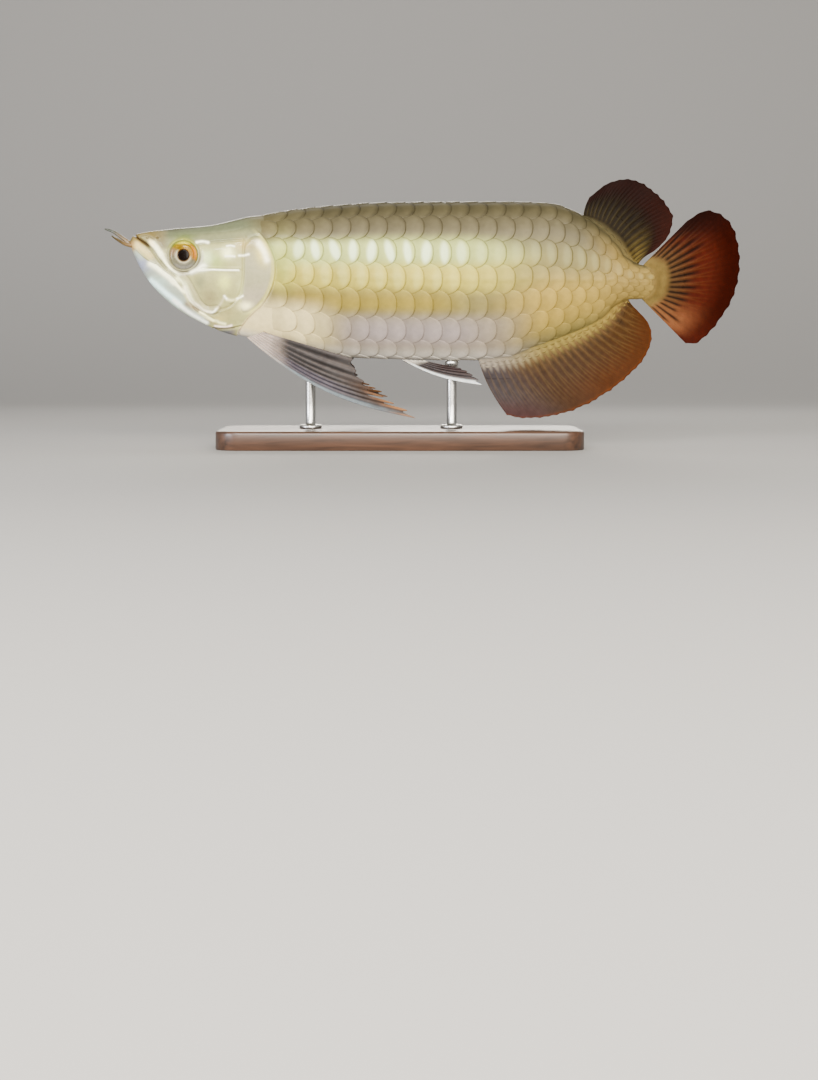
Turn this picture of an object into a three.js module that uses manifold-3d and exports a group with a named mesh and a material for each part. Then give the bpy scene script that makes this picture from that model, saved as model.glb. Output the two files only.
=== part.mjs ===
// A life-size display model of an Asian arowana, swimming, held over a plain base by two short rods.
//
// Units are millimetres. The head points along -X, the fish's left side faces -Y and Z is up.
// The origin is the middle of the underside of the base.
//
// The fish is first built straight. Its skin is one closed lattice, parted into head, jaw, plates,
// torso and tail by thin cuts. The last step bends everything sideways towards the tail.
import * as THREE from "three";
import { mergeVertices } from "three/addons/utils/BufferGeometryUtils.js";
import Module from "manifold-3d";

const wasm = await Module();
wasm.setup();

// Driving dimensions of the fish. Each pair is [x, height above the floor], from snout to tail.
const BACK_LINE = [
  [-215.2, 164.4], [-209.5, 169.6], [-181, 173.6], [-152, 176.2], [-119, 183.4], [-69, 191.2],
  [-10, 195], [80, 195.6], [118, 194.6], [142, 187], [170, 167], [182, 152], [193, 146.2], [212, 144.5],
];
const BELLY_LINE = [
  [-215.2, 162.4], [-213.2, 156], [-204, 137.4], [-191, 121.4], [-177.5, 110], [-161, 100.5],
  [-140, 91.4], [-120, 86.5], [-80, 77.4], [-40, 71.2], [60, 69.2], [87, 71], [105, 78],
  [142, 92], [162, 102], [175, 114], [186, 118], [212, 118.5],
];
// Each pair is [x, half the width of the body].
const HALF_WIDTH = [
  [-215.2, 1.6], [-212.5, 5.6], [-206, 9.2], [-195, 12.6], [-180, 15.2], [-160, 17.4], [-135, 19.8],
  [-110, 21.8], [-70, 23.6], [-20, 24.2], [40, 23.8], [90, 21.6], [130, 17.2], [160, 12.2],
  [182, 8.4], [200, 5.2], [212, 2.6],
];
// Each pair is [x, height of the widest level].
const WIDEST_LEVEL = [
  [-215.2, 163.4], [-205, 157], [-190, 152.5], [-172, 149.5], [-140, 144], [-100, 140], [-30, 138],
  [60, 137], [120, 139], [160, 136], [185, 133], [212, 131.5],
];
const NOSE_X = BACK_LINE[0][0];
const BODY_END_X = 210;
const END_ROUND = 6; // the scaly edge on the tail fin bulges this far back at its middle
const ROUND_BACK = 2.3; // superellipse powers of the section: 2 is an ellipse, more is squarer
const FLAT_SKULL = 2.9;
const JAW_KEEL = 1.75;
const ROUND_BELLY = 2.1;
const BEND_START_X = 60; // the body is straight in front of this
const BEND_END_X = 278;
const BEND_SIDEWAYS = 35; // how far the end of the tail fin swings out, along +Y

// Scales: every column of scales covers the roots of the next one.
const SCALE_RELIEF = 0.9; // how far a scale's rear edge stands proud; 0 leaves the skin plain
const TORSO_START_X = -140; // inside the head's region, where the gill edge cuts it
const FIRST_SCALE_X = -112;
const SCALE_COLUMN = 9.6; // from one column of scales to the next, on the flank
const TAIL_SCALE_COLUMN = 7; // the same at the root of the tail
const SCALE_ROWS = 6; // from the middle of the back to the middle of the belly
const HALF_SCALE_STEPS = 2; // facets from a scale's upper corner to its tip
const SCALE_TIP_POWER = 2.3;
const SCALE_SWEEP = 0.85; // how far the corners lie in front of the tip, as a share of a column
const SCALE_RISER = 0.07; // length of the step down behind a scale, as a share of a column

// Cuts between the nodes.
const GAP = 0.35; // between any two nodes
const MOUTH_GAP = 0.8;
// Where the head's lattice has its rings.
const HEAD_RINGS = [
  NOSE_X, -214.2, -211.6, -207.6, -201, -193, -184.6, -176, -167, -157, -147, -137, -126, -114, -102, -90,
];
const SLIVER = 0.05; // slivers thinner than this are merged away
const SEAM_WIDTH = 1;
const SEAM_DEPTH = 0.8;
const PLATE_RISE = 0.6;
const PLATE_DEPTH = 2.4;
const TAIL_CUT_X = 56;
const HEAD_LINES = 15; // facets over half the girth of the head
const ACROSS = 90; // half the length of a cutting slab, more than half the width of the fish

// The line of the mouth, from the tip of the snout to the corner of the jaws.
const MOUTH_LINE = [
  [-216.5, 168.6], [-210, 167.4], [-204.8, 163], [-199.2, 157.2], [-187.2, 141.4], [-175.2, 125.4],
  [-160.8, 109.4], [-152, 103.2], [-140, 100.2], [-134.4, 96], [-137, 84],
];
const MAXILLA = [
  [-203.6, 164.6], [-198.2, 158.6], [-186.2, 142.8], [-174.2, 126.8], [-160.2, 111], [-152, 107.2],
  [-144, 108.6], [-149, 112.4], [-157.6, 114], [-164.4, 121.6], [-168, 130], [-173.4, 135.6],
  [-181.4, 141.4], [-188.4, 151], [-195.6, 161], [-200.4, 165.2],
];
const GILL_COVER = [
  [-123.4, 161.4], [-115.4, 166.6], [-106.8, 160.6], [-101, 149], [-101.8, 136.6], [-105.8, 125.2],
  [-112, 116], [-120, 109.8], [-128.6, 108.6], [-128.4, 116], [-125, 127], [-124.4, 143],
];
// The edge where head and torso meet, from the nape down behind the gill cover to the throat.
const GILL_EDGE = [
  [-119.2, 203], [-119.2, 184], [-116, 175], [-109.5, 168.6], [-103.6, 161.4], [-99, 149.6],
  [-99.6, 136], [-103.8, 124], [-110.8, 113.6], [-118.6, 106.4], [-125, 99.4], [-130, 91], [-132, 76],
];
const CHEEK_SEAMS = [
  [[-163, 143.6], [-152.8, 142.4], [-128, 142.4]],
  [[-163, 160], [-146, 163.4], [-123.6, 164.4]],
  [[-127.6, 164], [-128.4, 143], [-128.8, 128], [-133, 116.4], [-144, 111.4]],
  [[-126, 106.6], [-116, 104.8]],
];

// Head pieces.
const EYE = {
  x: -172.8, z: 153.2, radius: 10.8, depth: 5.6, proud: 2.2, pupil: 4.6, step: 0.35, facets: 16,
};
const EYE_RIM = { radius: 11.7, tube: 1.5 };
const NOSTRILS = [
  { x: -200.5, z: 165.6, radius: 1.5, wall: 0.8, rise: 1 },
  { x: -191.5, z: 165.8, radius: 1.2, wall: 0.6, rise: 0.4 },
];
const NOSTRIL_DEPTH = 1.4;
const NOSTRIL_SIDES = 8;
const BARBEL = { x: -213.4, z: 163.6, y: 2.6, root: 1.3, tip: 0.45, sides: 7, steps: 7 };
// The way of each barbel from its root: forwards, outwards and up. The left one points more sideways.
const LEFT_BARBEL_WAY = [[0, 0, 0], [-5, 2.6, 0.6], [-9.6, 6.6, 2], [-14, 12, 4]];
const RIGHT_BARBEL_WAY = [[0, 0, 0], [-8, 1.4, 4.6], [-16, 3.4, 8.2], [-23, 6, 10.4]];
const BARBEL_SUNK = 3;

// Fins. Outlines are [x, z] of the tips of the rays, from the first ray to the last one.
const RAY_RELIEF = 1; // 1 raises the rays on the membrane, 0 leaves the fins plain
const DORSAL_FIN = {
  rays: 16, steps: 4, from: 146, to: 190, ray: 1.3, web: 0.7, tipRay: 0.5, notch: 0.05, sweep: 0.06,
  tips: [
    [151, 199], [167, 210.4], [187, 213], [206, 202], [219, 186], [216.4, 170], [207, 159],
    [197, 152.6],
  ],
};
const ANAL_FIN = {
  rays: 23, steps: 4, from: 62, to: 182, ray: 1.3, web: 0.7, tipRay: 0.5, notch: 0.04, sweep: 0.05,
  tips: [
    [86, 25.6], [100, 22.6], [120, 24.4], [144, 31], [170, 45.6], [189, 61.6], [200, 75.4],
    [203.2, 89.4], [200, 100], [191, 109.6],
  ],
};
const TAIL_FIN = {
  rays: 15, steps: 4, ray: 1.3, web: 0.7, tipRay: 0.5, notch: 0.04, sweep: 0,
  roots: [[196, 146.5], [204, 141], [206, 132], [204, 123], [196, 117]],
  tips: [
    [231.5, 181.5], [246, 189.6], [261, 187], [271.5, 177.6], [277, 160.6], [278, 146.4], [276, 131.6],
    [270, 115.4], [261, 102], [251, 91], [240.5, 83], [231.5, 83],
  ],
};
// Paired fins. A ray runs from its root to its tip, sags by sag, and swings out by spread.
const PECTORAL_FIN = {
  rays: 7, steps: 7, ray: 1.5, web: 0.8, tipRay: 0.5, notch: 0.07,
  roots: [[-121, 88, 13], [-108, 92, 19]],
  tips: [[12.8, 25.4], [7, 30.4], [-3, 36], [-13, 41.8], [-23.5, 49], [-32.5, 57.5], [-39, 67.5]],
  sag: [13, 2],
  spread: [46, 3],
};
// The right pectoral fin is swung further out, which brings its tip forward and up.
const FAR_PECTORAL = { back: -24, up: 13, spread: 12 };
const STILL = { back: 0, up: 0, spread: 0 };
const PELVIC_FIN = {
  rays: 6, steps: 5, ray: 1.3, web: 0.8, tipRay: 0.5, notch: 0.06,
  roots: [[2, 70, 8], [19, 69, 6.5]],
  tips: [[65, 50.4], [63, 53.6], [59.5, 57], [55, 60], [50, 62.4], [44, 64.4]],
  sag: [4, 0.5],
  spread: [17, 4],
};

// The stand.
const BASE = { length: 290, width: 112, height: 15, corner: 20, bevel: 2 };
const ROD = { radius: 4, foot: 9, footHeight: 3, sides: 16, reach: 8 };
const ROD_X = [-72, 41.5];

// Small helpers.
const mix = (a, b, t) => a + (b - a) * t;
const clamp = (value, low, high) => Math.min(high, Math.max(low, value));
const smooth = (value, from, to) => {
  const t = clamp((value - from) / (to - from), 0, 1);
  return t * t * (3 - 2 * t);
};

// A smooth height over x through the given pairs, which never overshoots them.
function smoothLine(pairs) {
  const slope = pairs.map((pair, i) => {
    if (i === 0 || i === pairs.length - 1) return null;
    const before = (pair[1] - pairs[i - 1][1]) / (pair[0] - pairs[i - 1][0]);
    const after = (pairs[i + 1][1] - pair[1]) / (pairs[i + 1][0] - pair[0]);
    return before * after > 0 ? (2 * before * after) / (before + after) : 0;
  });
  const last = pairs.length - 1;
  slope[0] = (pairs[1][1] - pairs[0][1]) / (pairs[1][0] - pairs[0][0]);
  slope[last] = (pairs[last][1] - pairs[last - 1][1]) / (pairs[last][0] - pairs[last - 1][0]);
  return (x) => {
    const k = x >= pairs[last][0] ? last : Math.max(pairs.findIndex((pair) => pair[0] > x), 1);
    const [x0, z0] = pairs[k - 1];
    const [x1, z1] = pairs[k];
    const width = x1 - x0;
    const t = clamp((x - x0) / width, 0, 1);
    return (
      z0 * (1 + 2 * t) * (1 - t) ** 2 + slope[k - 1] * width * t * (1 - t) ** 2 +
      z1 * t * t * (3 - 2 * t) + slope[k] * width * t * t * (t - 1)
    );
  };
}

const back = smoothLine(BACK_LINE);
const belly = smoothLine(BELLY_LINE);
const halfWidth = smoothLine(HALF_WIDTH);
const widest = smoothLine(WIDEST_LEVEL);

// The left half of the section at x, as [y, z] from the back to the belly, in SECTION_STEPS steps.
const SECTION_STEPS = 48;
function section(x) {
  const power = { top: mix(FLAT_SKULL, ROUND_BACK, smooth(x, -150, -60)), low: 0 };
  power.low = mix(JAW_KEEL, ROUND_BELLY, smooth(x, -150, -70));
  const [top, low, mid, half] = [back(x), belly(x), widest(x), halfWidth(x)];
  const points = [];
  for (let i = 0; i <= SECTION_STEPS; i++) {
    const angle = (Math.PI * i) / SECTION_STEPS;
    const isTop = 2 * i < SECTION_STEPS;
    const n = 2 / (isTop ? power.top : power.low);
    const rise = Math.abs(Math.cos(angle)) ** n * (isTop ? top - mid : low - mid);
    points.push([half * Math.sin(angle) ** n, mid + rise]);
  }
  return points;
}

// A point of the skin: v runs evenly over the girth, from 0 on the back to 1 on the belly.
function skinPoint(x, v, side) {
  const points = section(x);
  const lengths = [0];
  for (let i = 1; i < points.length; i++) {
    const step = Math.hypot(points[i][0] - points[i - 1][0], points[i][1] - points[i - 1][1]);
    lengths.push(lengths[i - 1] + step);
  }
  const wanted = v * lengths[SECTION_STEPS];
  const i = clamp(lengths.findIndex((length) => length >= wanted), 1, SECTION_STEPS);
  const t = (wanted - lengths[i - 1]) / (lengths[i] - lengths[i - 1]);
  const y = mix(points[i - 1][0], points[i][0], t);
  return new THREE.Vector3(x, side * y, mix(points[i - 1][1], points[i][1], t));
}

// The same point moved outwards (or inwards) along the skin's normal.
function skinOffset(x, v, side, outwards) {
  const point = skinPoint(x, v, side);
  if (outwards === 0) return point;
  const nudge = 0.4;
  const low = Math.max(v - 0.01, 0);
  const high = Math.min(v + 0.01, 1);
  const round = skinPoint(x, high, side).sub(skinPoint(x, low, side));
  if (low === 0 || high === 1) round.set(0, side, 0).multiplyScalar(low === 0 ? 1 : -1);
  const x0 = clamp(x - nudge, NOSE_X, BODY_END_X);
  const x1 = clamp(x + nudge, NOSE_X, BODY_END_X);
  const along = skinPoint(x1, v, side).sub(skinPoint(x0, v, side));
  const normal = along.cross(round).normalize().multiplyScalar(side);
  const room = -0.4 * halfWidth(x);
  return point.addScaledVector(normal, Math.max(outwards, room));
}

// Where fins grow, the skin stays smooth.
function reliefShare(x, v) {
  const midlines = smooth(v, 0.042, 0.08) * smooth(1 - v, 0.06, 0.1);
  const shoulder = Math.max(smooth(x, -104, -92), smooth(0.74 - v, 0, 0.06));
  return midlines * shoulder;
}

// The lines across the torso and tail that the scaly skin is strung on: each gives [x, relief] at v.
const SCALE_LINES = 2 * HALF_SCALE_STEPS * SCALE_ROWS;
function scaleLines(relief) {
  const lines = [() => [TORSO_START_X, 0]];
  const swept = (x, v) => x - END_ROUND * (2 * v - 1) ** 2 * smooth(x, BODY_END_X - 40, BODY_END_X);
  let x = FIRST_SCALE_X;
  for (let column = 0; x < BODY_END_X - 2; column++) {
    const pitch = mix(SCALE_COLUMN, TAIL_SCALE_COLUMN, smooth(x, 90, 190));
    const tipX = x;
    // 0 at the tip of a scale and 1 at its upper and lower corners.
    const fromTip = (v) => {
      const row = v * SCALE_ROWS + 0.5 * (column % 2) + 0.5;
      return Math.abs(2 * (row - Math.round(row)));
    };
    const rearX = (v) => swept(tipX - pitch * SCALE_SWEEP * fromTip(v) ** SCALE_TIP_POWER, v);
    const high = relief * (pitch / SCALE_COLUMN);
    lines.push((v) => [rearX(v), high * (1 - 0.6 * fromTip(v) ** 2) * reliefShare(rearX(v), v)]);
    if (relief > 0) lines.push((v) => [rearX(v) + SCALE_RISER * pitch, 0]);
    x += pitch;
  }
  return [...lines, (v) => [swept(BODY_END_X - 1.2, v), 0], (v) => [swept(BODY_END_X, v), 0]];
}

// A closed solid of the skin strung on the given lines, moved outwards by the given distance.
function skinSolid(lines, count, outwards) {
  const rings = lines.map((line) =>
    Array.from({ length: 2 * count }, (_, i) => {
      const v = (i <= count ? i : 2 * count - i) / count;
      const [x, relief] = line(v);
      return skinOffset(x, v, i <= count ? -1 : 1, outwards + relief);
    }),
  );
  return loftSolid(rings);
}

const plainRings = (xs) => xs.map((x) => () => [x, 0]);
const headForm = (outwards) => skinSolid(plainRings(HEAD_RINGS), HEAD_LINES, outwards);
const torsoForm = (relief, outwards) => skinSolid(scaleLines(relief), SCALE_LINES, outwards);

// The height of the facetted body at x along its upper (v = 0) or lower (v = 1) midline.
function midlineHeight(x, v) {
  const xs = scaleLines(SCALE_RELIEF).map((line) => line(v)[0]);
  const i = clamp(xs.findIndex((ringX) => ringX > x), 1, xs.length - 1);
  const [z0, z1] = [xs[i - 1], xs[i]].map((ringX) => skinPoint(ringX, v, 1).z);
  return mix(z0, z1, (x - xs[i - 1]) / (xs[i] - xs[i - 1]));
}

// A closed solid through rings of the same number of points. Each end is zipped up from side to side.
function loftSolid(rings) {
  const count = rings[0].length;
  const points = rings.flat();
  const faces = [];
  rings.slice(1).forEach((ring, r) => {
    for (let i = 0; i < count; i++) {
      const j = (i + 1) % count;
      const [a, b, c, d] = [r * count + i, r * count + j, (r + 1) * count + i, (r + 1) * count + j];
      // Mirrored halves get mirrored diagonals.
      if (i < count / 2) faces.push(a, c, b, b, c, d);
      else faces.push(a, c, d, a, d, b);
    }
  });
  for (const [ring, flip] of [[0, false], [rings.length - 1, true]]) {
    for (let i = 0, j = count - 1; i < j - 1; i++, j--) {
      const [a, b, c, d] = [i, i + 1, j, j - 1].map((k) => ring * count + k);
      const corners = b === d ? [[a, b, c]] : [[a, b, c], [c, b, d]];
      for (const [p, q, r] of corners) faces.push(...(flip ? [p, r, q] : [p, q, r]));
    }
  }
  return solidFrom(points, faces);
}

// three.js geometry to a manifold solid and back.
function solidOf(geometry) {
  const bare = geometry.clone();
  bare.deleteAttribute("normal");
  bare.deleteAttribute("uv");
  const merged = mergeVertices(bare, 1e-4);
  const vertProperties = new Float32Array(merged.attributes.position.array);
  const triVerts = new Uint32Array(merged.index.array);
  const made = new wasm.Manifold(new wasm.Mesh({ numProp: 3, vertProperties, triVerts }));
  if (made.volume() > 0) return made;
  // The surface was strung the other way round, so each triangle is turned.
  for (let i = 0; i < triVerts.length; i += 3) {
    [triVerts[i + 1], triVerts[i + 2]] = [triVerts[i + 2], triVerts[i + 1]];
  }
  return new wasm.Manifold(new wasm.Mesh({ numProp: 3, vertProperties, triVerts }));
}

function solidFrom(points, faces) {
  const geometry = new THREE.BufferGeometry().setFromPoints(points);
  geometry.setIndex(faces);
  return solidOf(geometry);
}

function geometryOf(solid) {
  const mesh = solid.getMesh();
  const geometry = new THREE.BufferGeometry();
  const positions = new Float32Array(mesh.vertProperties);
  geometry.setAttribute("position", new THREE.BufferAttribute(positions, 3));
  geometry.setIndex(new THREE.BufferAttribute(new Uint32Array(mesh.triVerts), 1));
  return geometry;
}

const largest = (solid) => solid.decompose().sort((a, b) => b.volume() - a.volume())[0];
const joined = (solids) => solids.reduce((sum, solid) => sum.add(solid));
const sideOf = (solid, side) => {
  const wanted = solid.decompose().filter((piece) => {
    const box = piece.boundingBox();
    return side * (box.min[1] + box.max[1]) > 0;
  });
  return wanted.sort((a, b) => b.volume() - a.volume())[0];
};

// A slab across the whole fish with the given outline in the XZ plane.
function slab(outline) {
  const shape = new THREE.Shape(outline.map(([x, z]) => new THREE.Vector2(x, z)));
  const geometry = new THREE.ExtrudeGeometry(shape, { depth: 2 * ACROSS, bevelEnabled: false });
  // The shape's second axis becomes Z and the extrusion runs along -Y.
  geometry.rotateX(Math.PI / 2);
  geometry.translate(0, ACROSS, 0);
  return solidOf(geometry);
}

// A slab of constant width along an open or closed line in the XZ plane.
function cut(line, width, closed = false) {
  const points = line.map(([x, z]) => new THREE.Vector2(x, z));
  const count = points.length;
  const edge = (sign) => points.map((point, i) => {
    const before = points[closed ? (i + count - 1) % count : Math.max(i - 1, 0)];
    const after = points[closed ? (i + 1) % count : Math.min(i + 1, count - 1)];
    const into = point.clone().sub(before).normalize();
    const out = after.clone().sub(point).normalize();
    const way = into.add(out).normalize();
    const reach = (sign * width) / 2;
    return [point.x - way.y * reach, point.y + way.x * reach];
  });
  if (!closed) return slab([...edge(1), ...edge(-1).reverse()]);
  const [a, b] = [slab(edge(1)), slab(edge(-1))];
  return a.volume() > b.volume() ? a.subtract(b) : b.subtract(a);
}

// The head and the body whole, and the surfaces that the plates and seams reach down to.
const wholeHead = headForm(0);
const wholeTorso = torsoForm(SCALE_RELIEF, 0);
const clearBody = torsoForm(0, GAP); // what a fin or rod is cut with, so that it stays a gap away
const plateSkin = headForm(PLATE_RISE);
const underPlates = headForm(-PLATE_DEPTH);
const underPockets = headForm(-PLATE_DEPTH - GAP);
const underSeams = headForm(-SEAM_DEPTH);

const FAR = 400;
const jawRegion = slab([...MOUTH_LINE, [-FAR, 84], [-FAR, 168.6]]);
const headRegion = slab([...GILL_EDGE, [-FAR, 76], [-FAR, 203]]);
const tailRegion = slab([[TAIL_CUT_X, 0], [FAR, 0], [FAR, FAR], [TAIL_CUT_X, FAR]]);
const mouthCut = cut(MOUTH_LINE, MOUTH_GAP);
const gillCut = cut(GILL_EDGE, GAP);
const tailCut = cut([[TAIL_CUT_X, 0], [TAIL_CUT_X, FAR]], GAP);

function plates(outline) {
  const edge = cut(outline, 2 * GAP, true);
  return slab(outline).intersect(plateSkin).subtract(underPlates).subtract(edge);
}

function pocket(outline) {
  return slab(outline).subtract(underPockets);
}

// The place on the flank at x and the height z, with the turn from +Y to the skin's normal there.
function flankPlace({ x, z }, side) {
  let best = 0;
  for (let v = 0; v < 0.8; v += 0.005) {
    const off = Math.abs(skinPoint(x, v, side).z - z);
    if (off < Math.abs(skinPoint(x, best, side).z - z)) best = v;
  }
  const surface = skinPoint(x, best, side);
  const normal = skinOffset(x, best, side, 1).sub(surface).normalize();
  const turn = new THREE.Quaternion().setFromUnitVectors(new THREE.Vector3(0, 1, 0), normal);
  return { surface, normal, turn };
}

function placed(geometry, place, outwards) {
  geometry.applyQuaternion(place.turn);
  const at = place.surface.clone().addScaledVector(place.normal, outwards);
  geometry.translate(at.x, at.y, at.z);
  return solidOf(geometry);
}

// The eye: a ball flattened sideways, with the iris as a shallow disc and the pupil as a low dome.
function eyeProfile(grow) {
  const points = [new THREE.Vector2(0, -EYE.depth - grow)];
  const ringSteps = 3;
  for (let i = 1; i < ringSteps; i++) {
    const a = (Math.PI / 2) * (i / ringSteps);
    points.push(new THREE.Vector2((EYE.radius + grow) * Math.sin(a), (-EYE.depth - grow) * Math.cos(a)));
  }
  points.push(new THREE.Vector2(EYE.radius + grow, 0));
  const dome = (r) => EYE.proud * Math.sqrt(Math.max(0, 1 - (r / EYE.radius) ** 2));
  if (grow > 0) {
    points.push(new THREE.Vector2(EYE.radius + grow, EYE.depth));
    points.push(new THREE.Vector2(0, EYE.depth));
    return points;
  }
  // From the white's edge over the iris groove to the pupil, which stands a little proud.
  for (const share of [0.92, 0.82]) {
    points.push(new THREE.Vector2(EYE.radius * share, dome(EYE.radius * share)));
  }
  points.push(new THREE.Vector2(EYE.radius * 0.78, dome(EYE.radius * 0.78) - EYE.step));
  points.push(new THREE.Vector2(EYE.pupil + 0.5, dome(EYE.pupil) - EYE.step));
  points.push(new THREE.Vector2(EYE.pupil, dome(EYE.pupil) + 0.1));
  points.push(new THREE.Vector2(EYE.pupil * 0.5, dome(EYE.pupil * 0.5) + 0.1));
  points.push(new THREE.Vector2(0, EYE.proud + 0.1));
  return points;
}

const eyeForm = (side, grow) =>
  placed(new THREE.LatheGeometry(eyeProfile(grow), EYE.facets), flankPlace(EYE, side), 0);

function eyeRim(side) {
  const ring = new THREE.TorusGeometry(EYE_RIM.radius, EYE_RIM.tube, 6, EYE.facets);
  ring.rotateX(Math.PI / 2);
  return placed(ring, flankPlace(EYE, side), -0.2);
}

// The nostrils: a short tube and a low ring, each with a blind hole.
function nostrilWall(nostril, side) {
  const outer = nostril.radius + nostril.wall;
  const wall = new THREE.CylinderGeometry(outer * 0.85, outer * 1.15, nostril.rise + 2, NOSTRIL_SIDES);
  return placed(wall, flankPlace(nostril, side), nostril.rise / 2 - 1);
}

function nostrilHole(nostril, side) {
  const [wide, narrow] = [nostril.radius, nostril.radius * 0.7];
  const hole = new THREE.CylinderGeometry(wide, narrow, NOSTRIL_DEPTH + 4, NOSTRIL_SIDES);
  return placed(hole, flankPlace(nostril, side), 2 - NOSTRIL_DEPTH / 2);
}

// A barbel: a tapered tube along a curve from the tip of the chin.
function barbelSolid(side, grow = 0) {
  const free = side < 0 ? LEFT_BARBEL_WAY : RIGHT_BARBEL_WAY;
  const way = [[BARBEL_SUNK, -0.6, -1.6], ...free].map(
    ([x, y, z]) => new THREE.Vector3(BARBEL.x + x, side * (BARBEL.y + y), BARBEL.z + z),
  );
  const curve = new THREE.CatmullRomCurve3(way);
  const frames = curve.computeFrenetFrames(BARBEL.steps, false);
  const rings = [];
  for (let i = 0; i <= BARBEL.steps; i++) {
    const share = i / BARBEL.steps;
    const radius = mix(BARBEL.root, BARBEL.tip, share) + grow;
    const middle = curve.getPointAt(share);
    rings.push(
      Array.from({ length: BARBEL.sides }, (_, k) => {
        const angle = (2 * Math.PI * k) / BARBEL.sides;
        return middle.clone()
          .addScaledVector(frames.normals[i], radius * Math.cos(angle))
          .addScaledVector(frames.binormals[i], radius * Math.sin(angle));
      }),
    );
  }
  return loftSolid(rings);
}

// Fins. `at(t, s)` gives the middle of the fin: t from the first ray to the last, s from root to tip.
function finSolid(fin, at) {
  const columns = 2 * (fin.rays - 1);
  const thickness = (column, s) => {
    const isRay = column % 2 === 0;
    const root = isRay && RAY_RELIEF > 0 ? fin.ray : fin.web;
    return mix(root, fin.tipRay * (isRay ? 1 : 0.75), s) / 2 + (isRay ? 0.1 * RAY_RELIEF : 0);
  };
  const grid = [];
  for (let column = 0; column <= columns; column++) {
    const t = column / columns;
    const reach = column % 2 === 0 ? 1 : 1 - fin.notch * RAY_RELIEF;
    const line = [];
    for (let k = 0; k <= fin.steps; k++) {
      const s = (k / fin.steps) * reach;
      const middle = at(t, s);
      const alongT = at(Math.min(t + 0.01, 1), s).sub(at(Math.max(t - 0.01, 0), s));
      const alongS = at(t, Math.min(s + 0.01, 1)).sub(at(t, Math.max(s - 0.01, 0)));
      const normal = alongT.cross(alongS).normalize();
      line.push([middle, normal.multiplyScalar(thickness(column, s))]);
    }
    grid.push(line);
  }
  return sheetSolid(grid);
}

// A closed sheet from a grid of [middle, half thickness], split into triangles alike on both faces.
function sheetSolid(grid) {
  const [columns, steps] = [grid.length, grid[0].length];
  const points = [];
  for (const line of grid) for (const [middle, half] of line) points.push(middle.clone().add(half));
  for (const line of grid) for (const [middle, half] of line) points.push(middle.clone().sub(half));
  const under = columns * steps;
  const id = (c, k) => c * steps + k;
  const faces = [];
  for (let c = 0; c < columns - 1; c++) {
    for (let k = 0; k < steps - 1; k++) {
      const [a, b, d, e] = [id(c, k), id(c + 1, k), id(c, k + 1), id(c + 1, k + 1)];
      const pair = c % 2 === 0 ? [[a, b, e], [a, e, d]] : [[a, b, d], [b, e, d]];
      for (const [p, q, r] of pair) faces.push(p, q, r, under + p, under + r, under + q);
    }
  }
  const rim = [];
  for (let c = 0; c < columns - 1; c++) rim.push([id(c, 0), id(c + 1, 0)]);
  for (let k = 0; k < steps - 1; k++) rim.push([id(columns - 1, k), id(columns - 1, k + 1)]);
  for (let c = columns - 1; c > 0; c--) rim.push([id(c, steps - 1), id(c - 1, steps - 1)]);
  for (let k = steps - 1; k > 0; k--) rim.push([id(0, k), id(0, k - 1)]);
  for (const [p, q] of rim) faces.push(p, under + p, q, q, under + p, under + q);
  return solidFrom(points, faces);
}

const curveThrough = (pairs) =>
  new THREE.CatmullRomCurve3(pairs.map(([x, z]) => new THREE.Vector3(x, 0, z)), false, "centripetal");

// A fin in the middle plane: `roots` gives the line that its rays start on.
function middleFin(fin, roots) {
  const tips = curveThrough(fin.tips);
  return finSolid(fin, (t, s) => {
    const [root, tip] = [roots(t), tips.getPointAt(t)];
    const point = root.clone().lerp(tip, s);
    const way = tip.clone().sub(root);
    // The rays sweep: they leave the body a little steeper than they end.
    return point.addScaledVector(new THREE.Vector3(-way.z, 0, way.x), fin.sweep * Math.sin(Math.PI * s));
  });
}

function dorsalFin() {
  return middleFin(DORSAL_FIN, (t) => {
    const x = mix(DORSAL_FIN.from, DORSAL_FIN.to, t);
    return new THREE.Vector3(x, 0, midlineHeight(x, 0) + GAP);
  });
}

function analFin() {
  return middleFin({ ...ANAL_FIN, sweep: -ANAL_FIN.sweep }, (t) => {
    const x = mix(ANAL_FIN.from, ANAL_FIN.to, t);
    return new THREE.Vector3(x, 0, midlineHeight(x, 1) - GAP);
  });
}

function tailFin() {
  const roots = curveThrough(TAIL_FIN.roots);
  return middleFin(TAIL_FIN, (t) => roots.getPointAt(t));
}

// A fin of a pair: rays from a root line on the flank, sagging and swinging outwards.
function sideFin(fin, side, swing) {
  const tips = curveThrough(fin.tips);
  const [front, rear] = fin.roots.map(([x, z, y]) => new THREE.Vector3(x, side * y, z));
  return finSolid(fin, (t, s) => {
    const root = front.clone().lerp(rear, t);
    const tip = tips.getPointAt(t);
    const share = s * (1 - t); // the first ray moves most
    const sag = mix(fin.sag[0], fin.sag[1], t) * Math.sin(Math.PI * s ** 0.9);
    const out = mix(fin.spread[0], fin.spread[1], t) * s + swing.spread * share;
    return new THREE.Vector3(
      mix(root.x, tip.x, s) + swing.back * share,
      root.y + side * out,
      mix(root.z, tip.z, s) + swing.up * share - sag,
    );
  });
}

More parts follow.
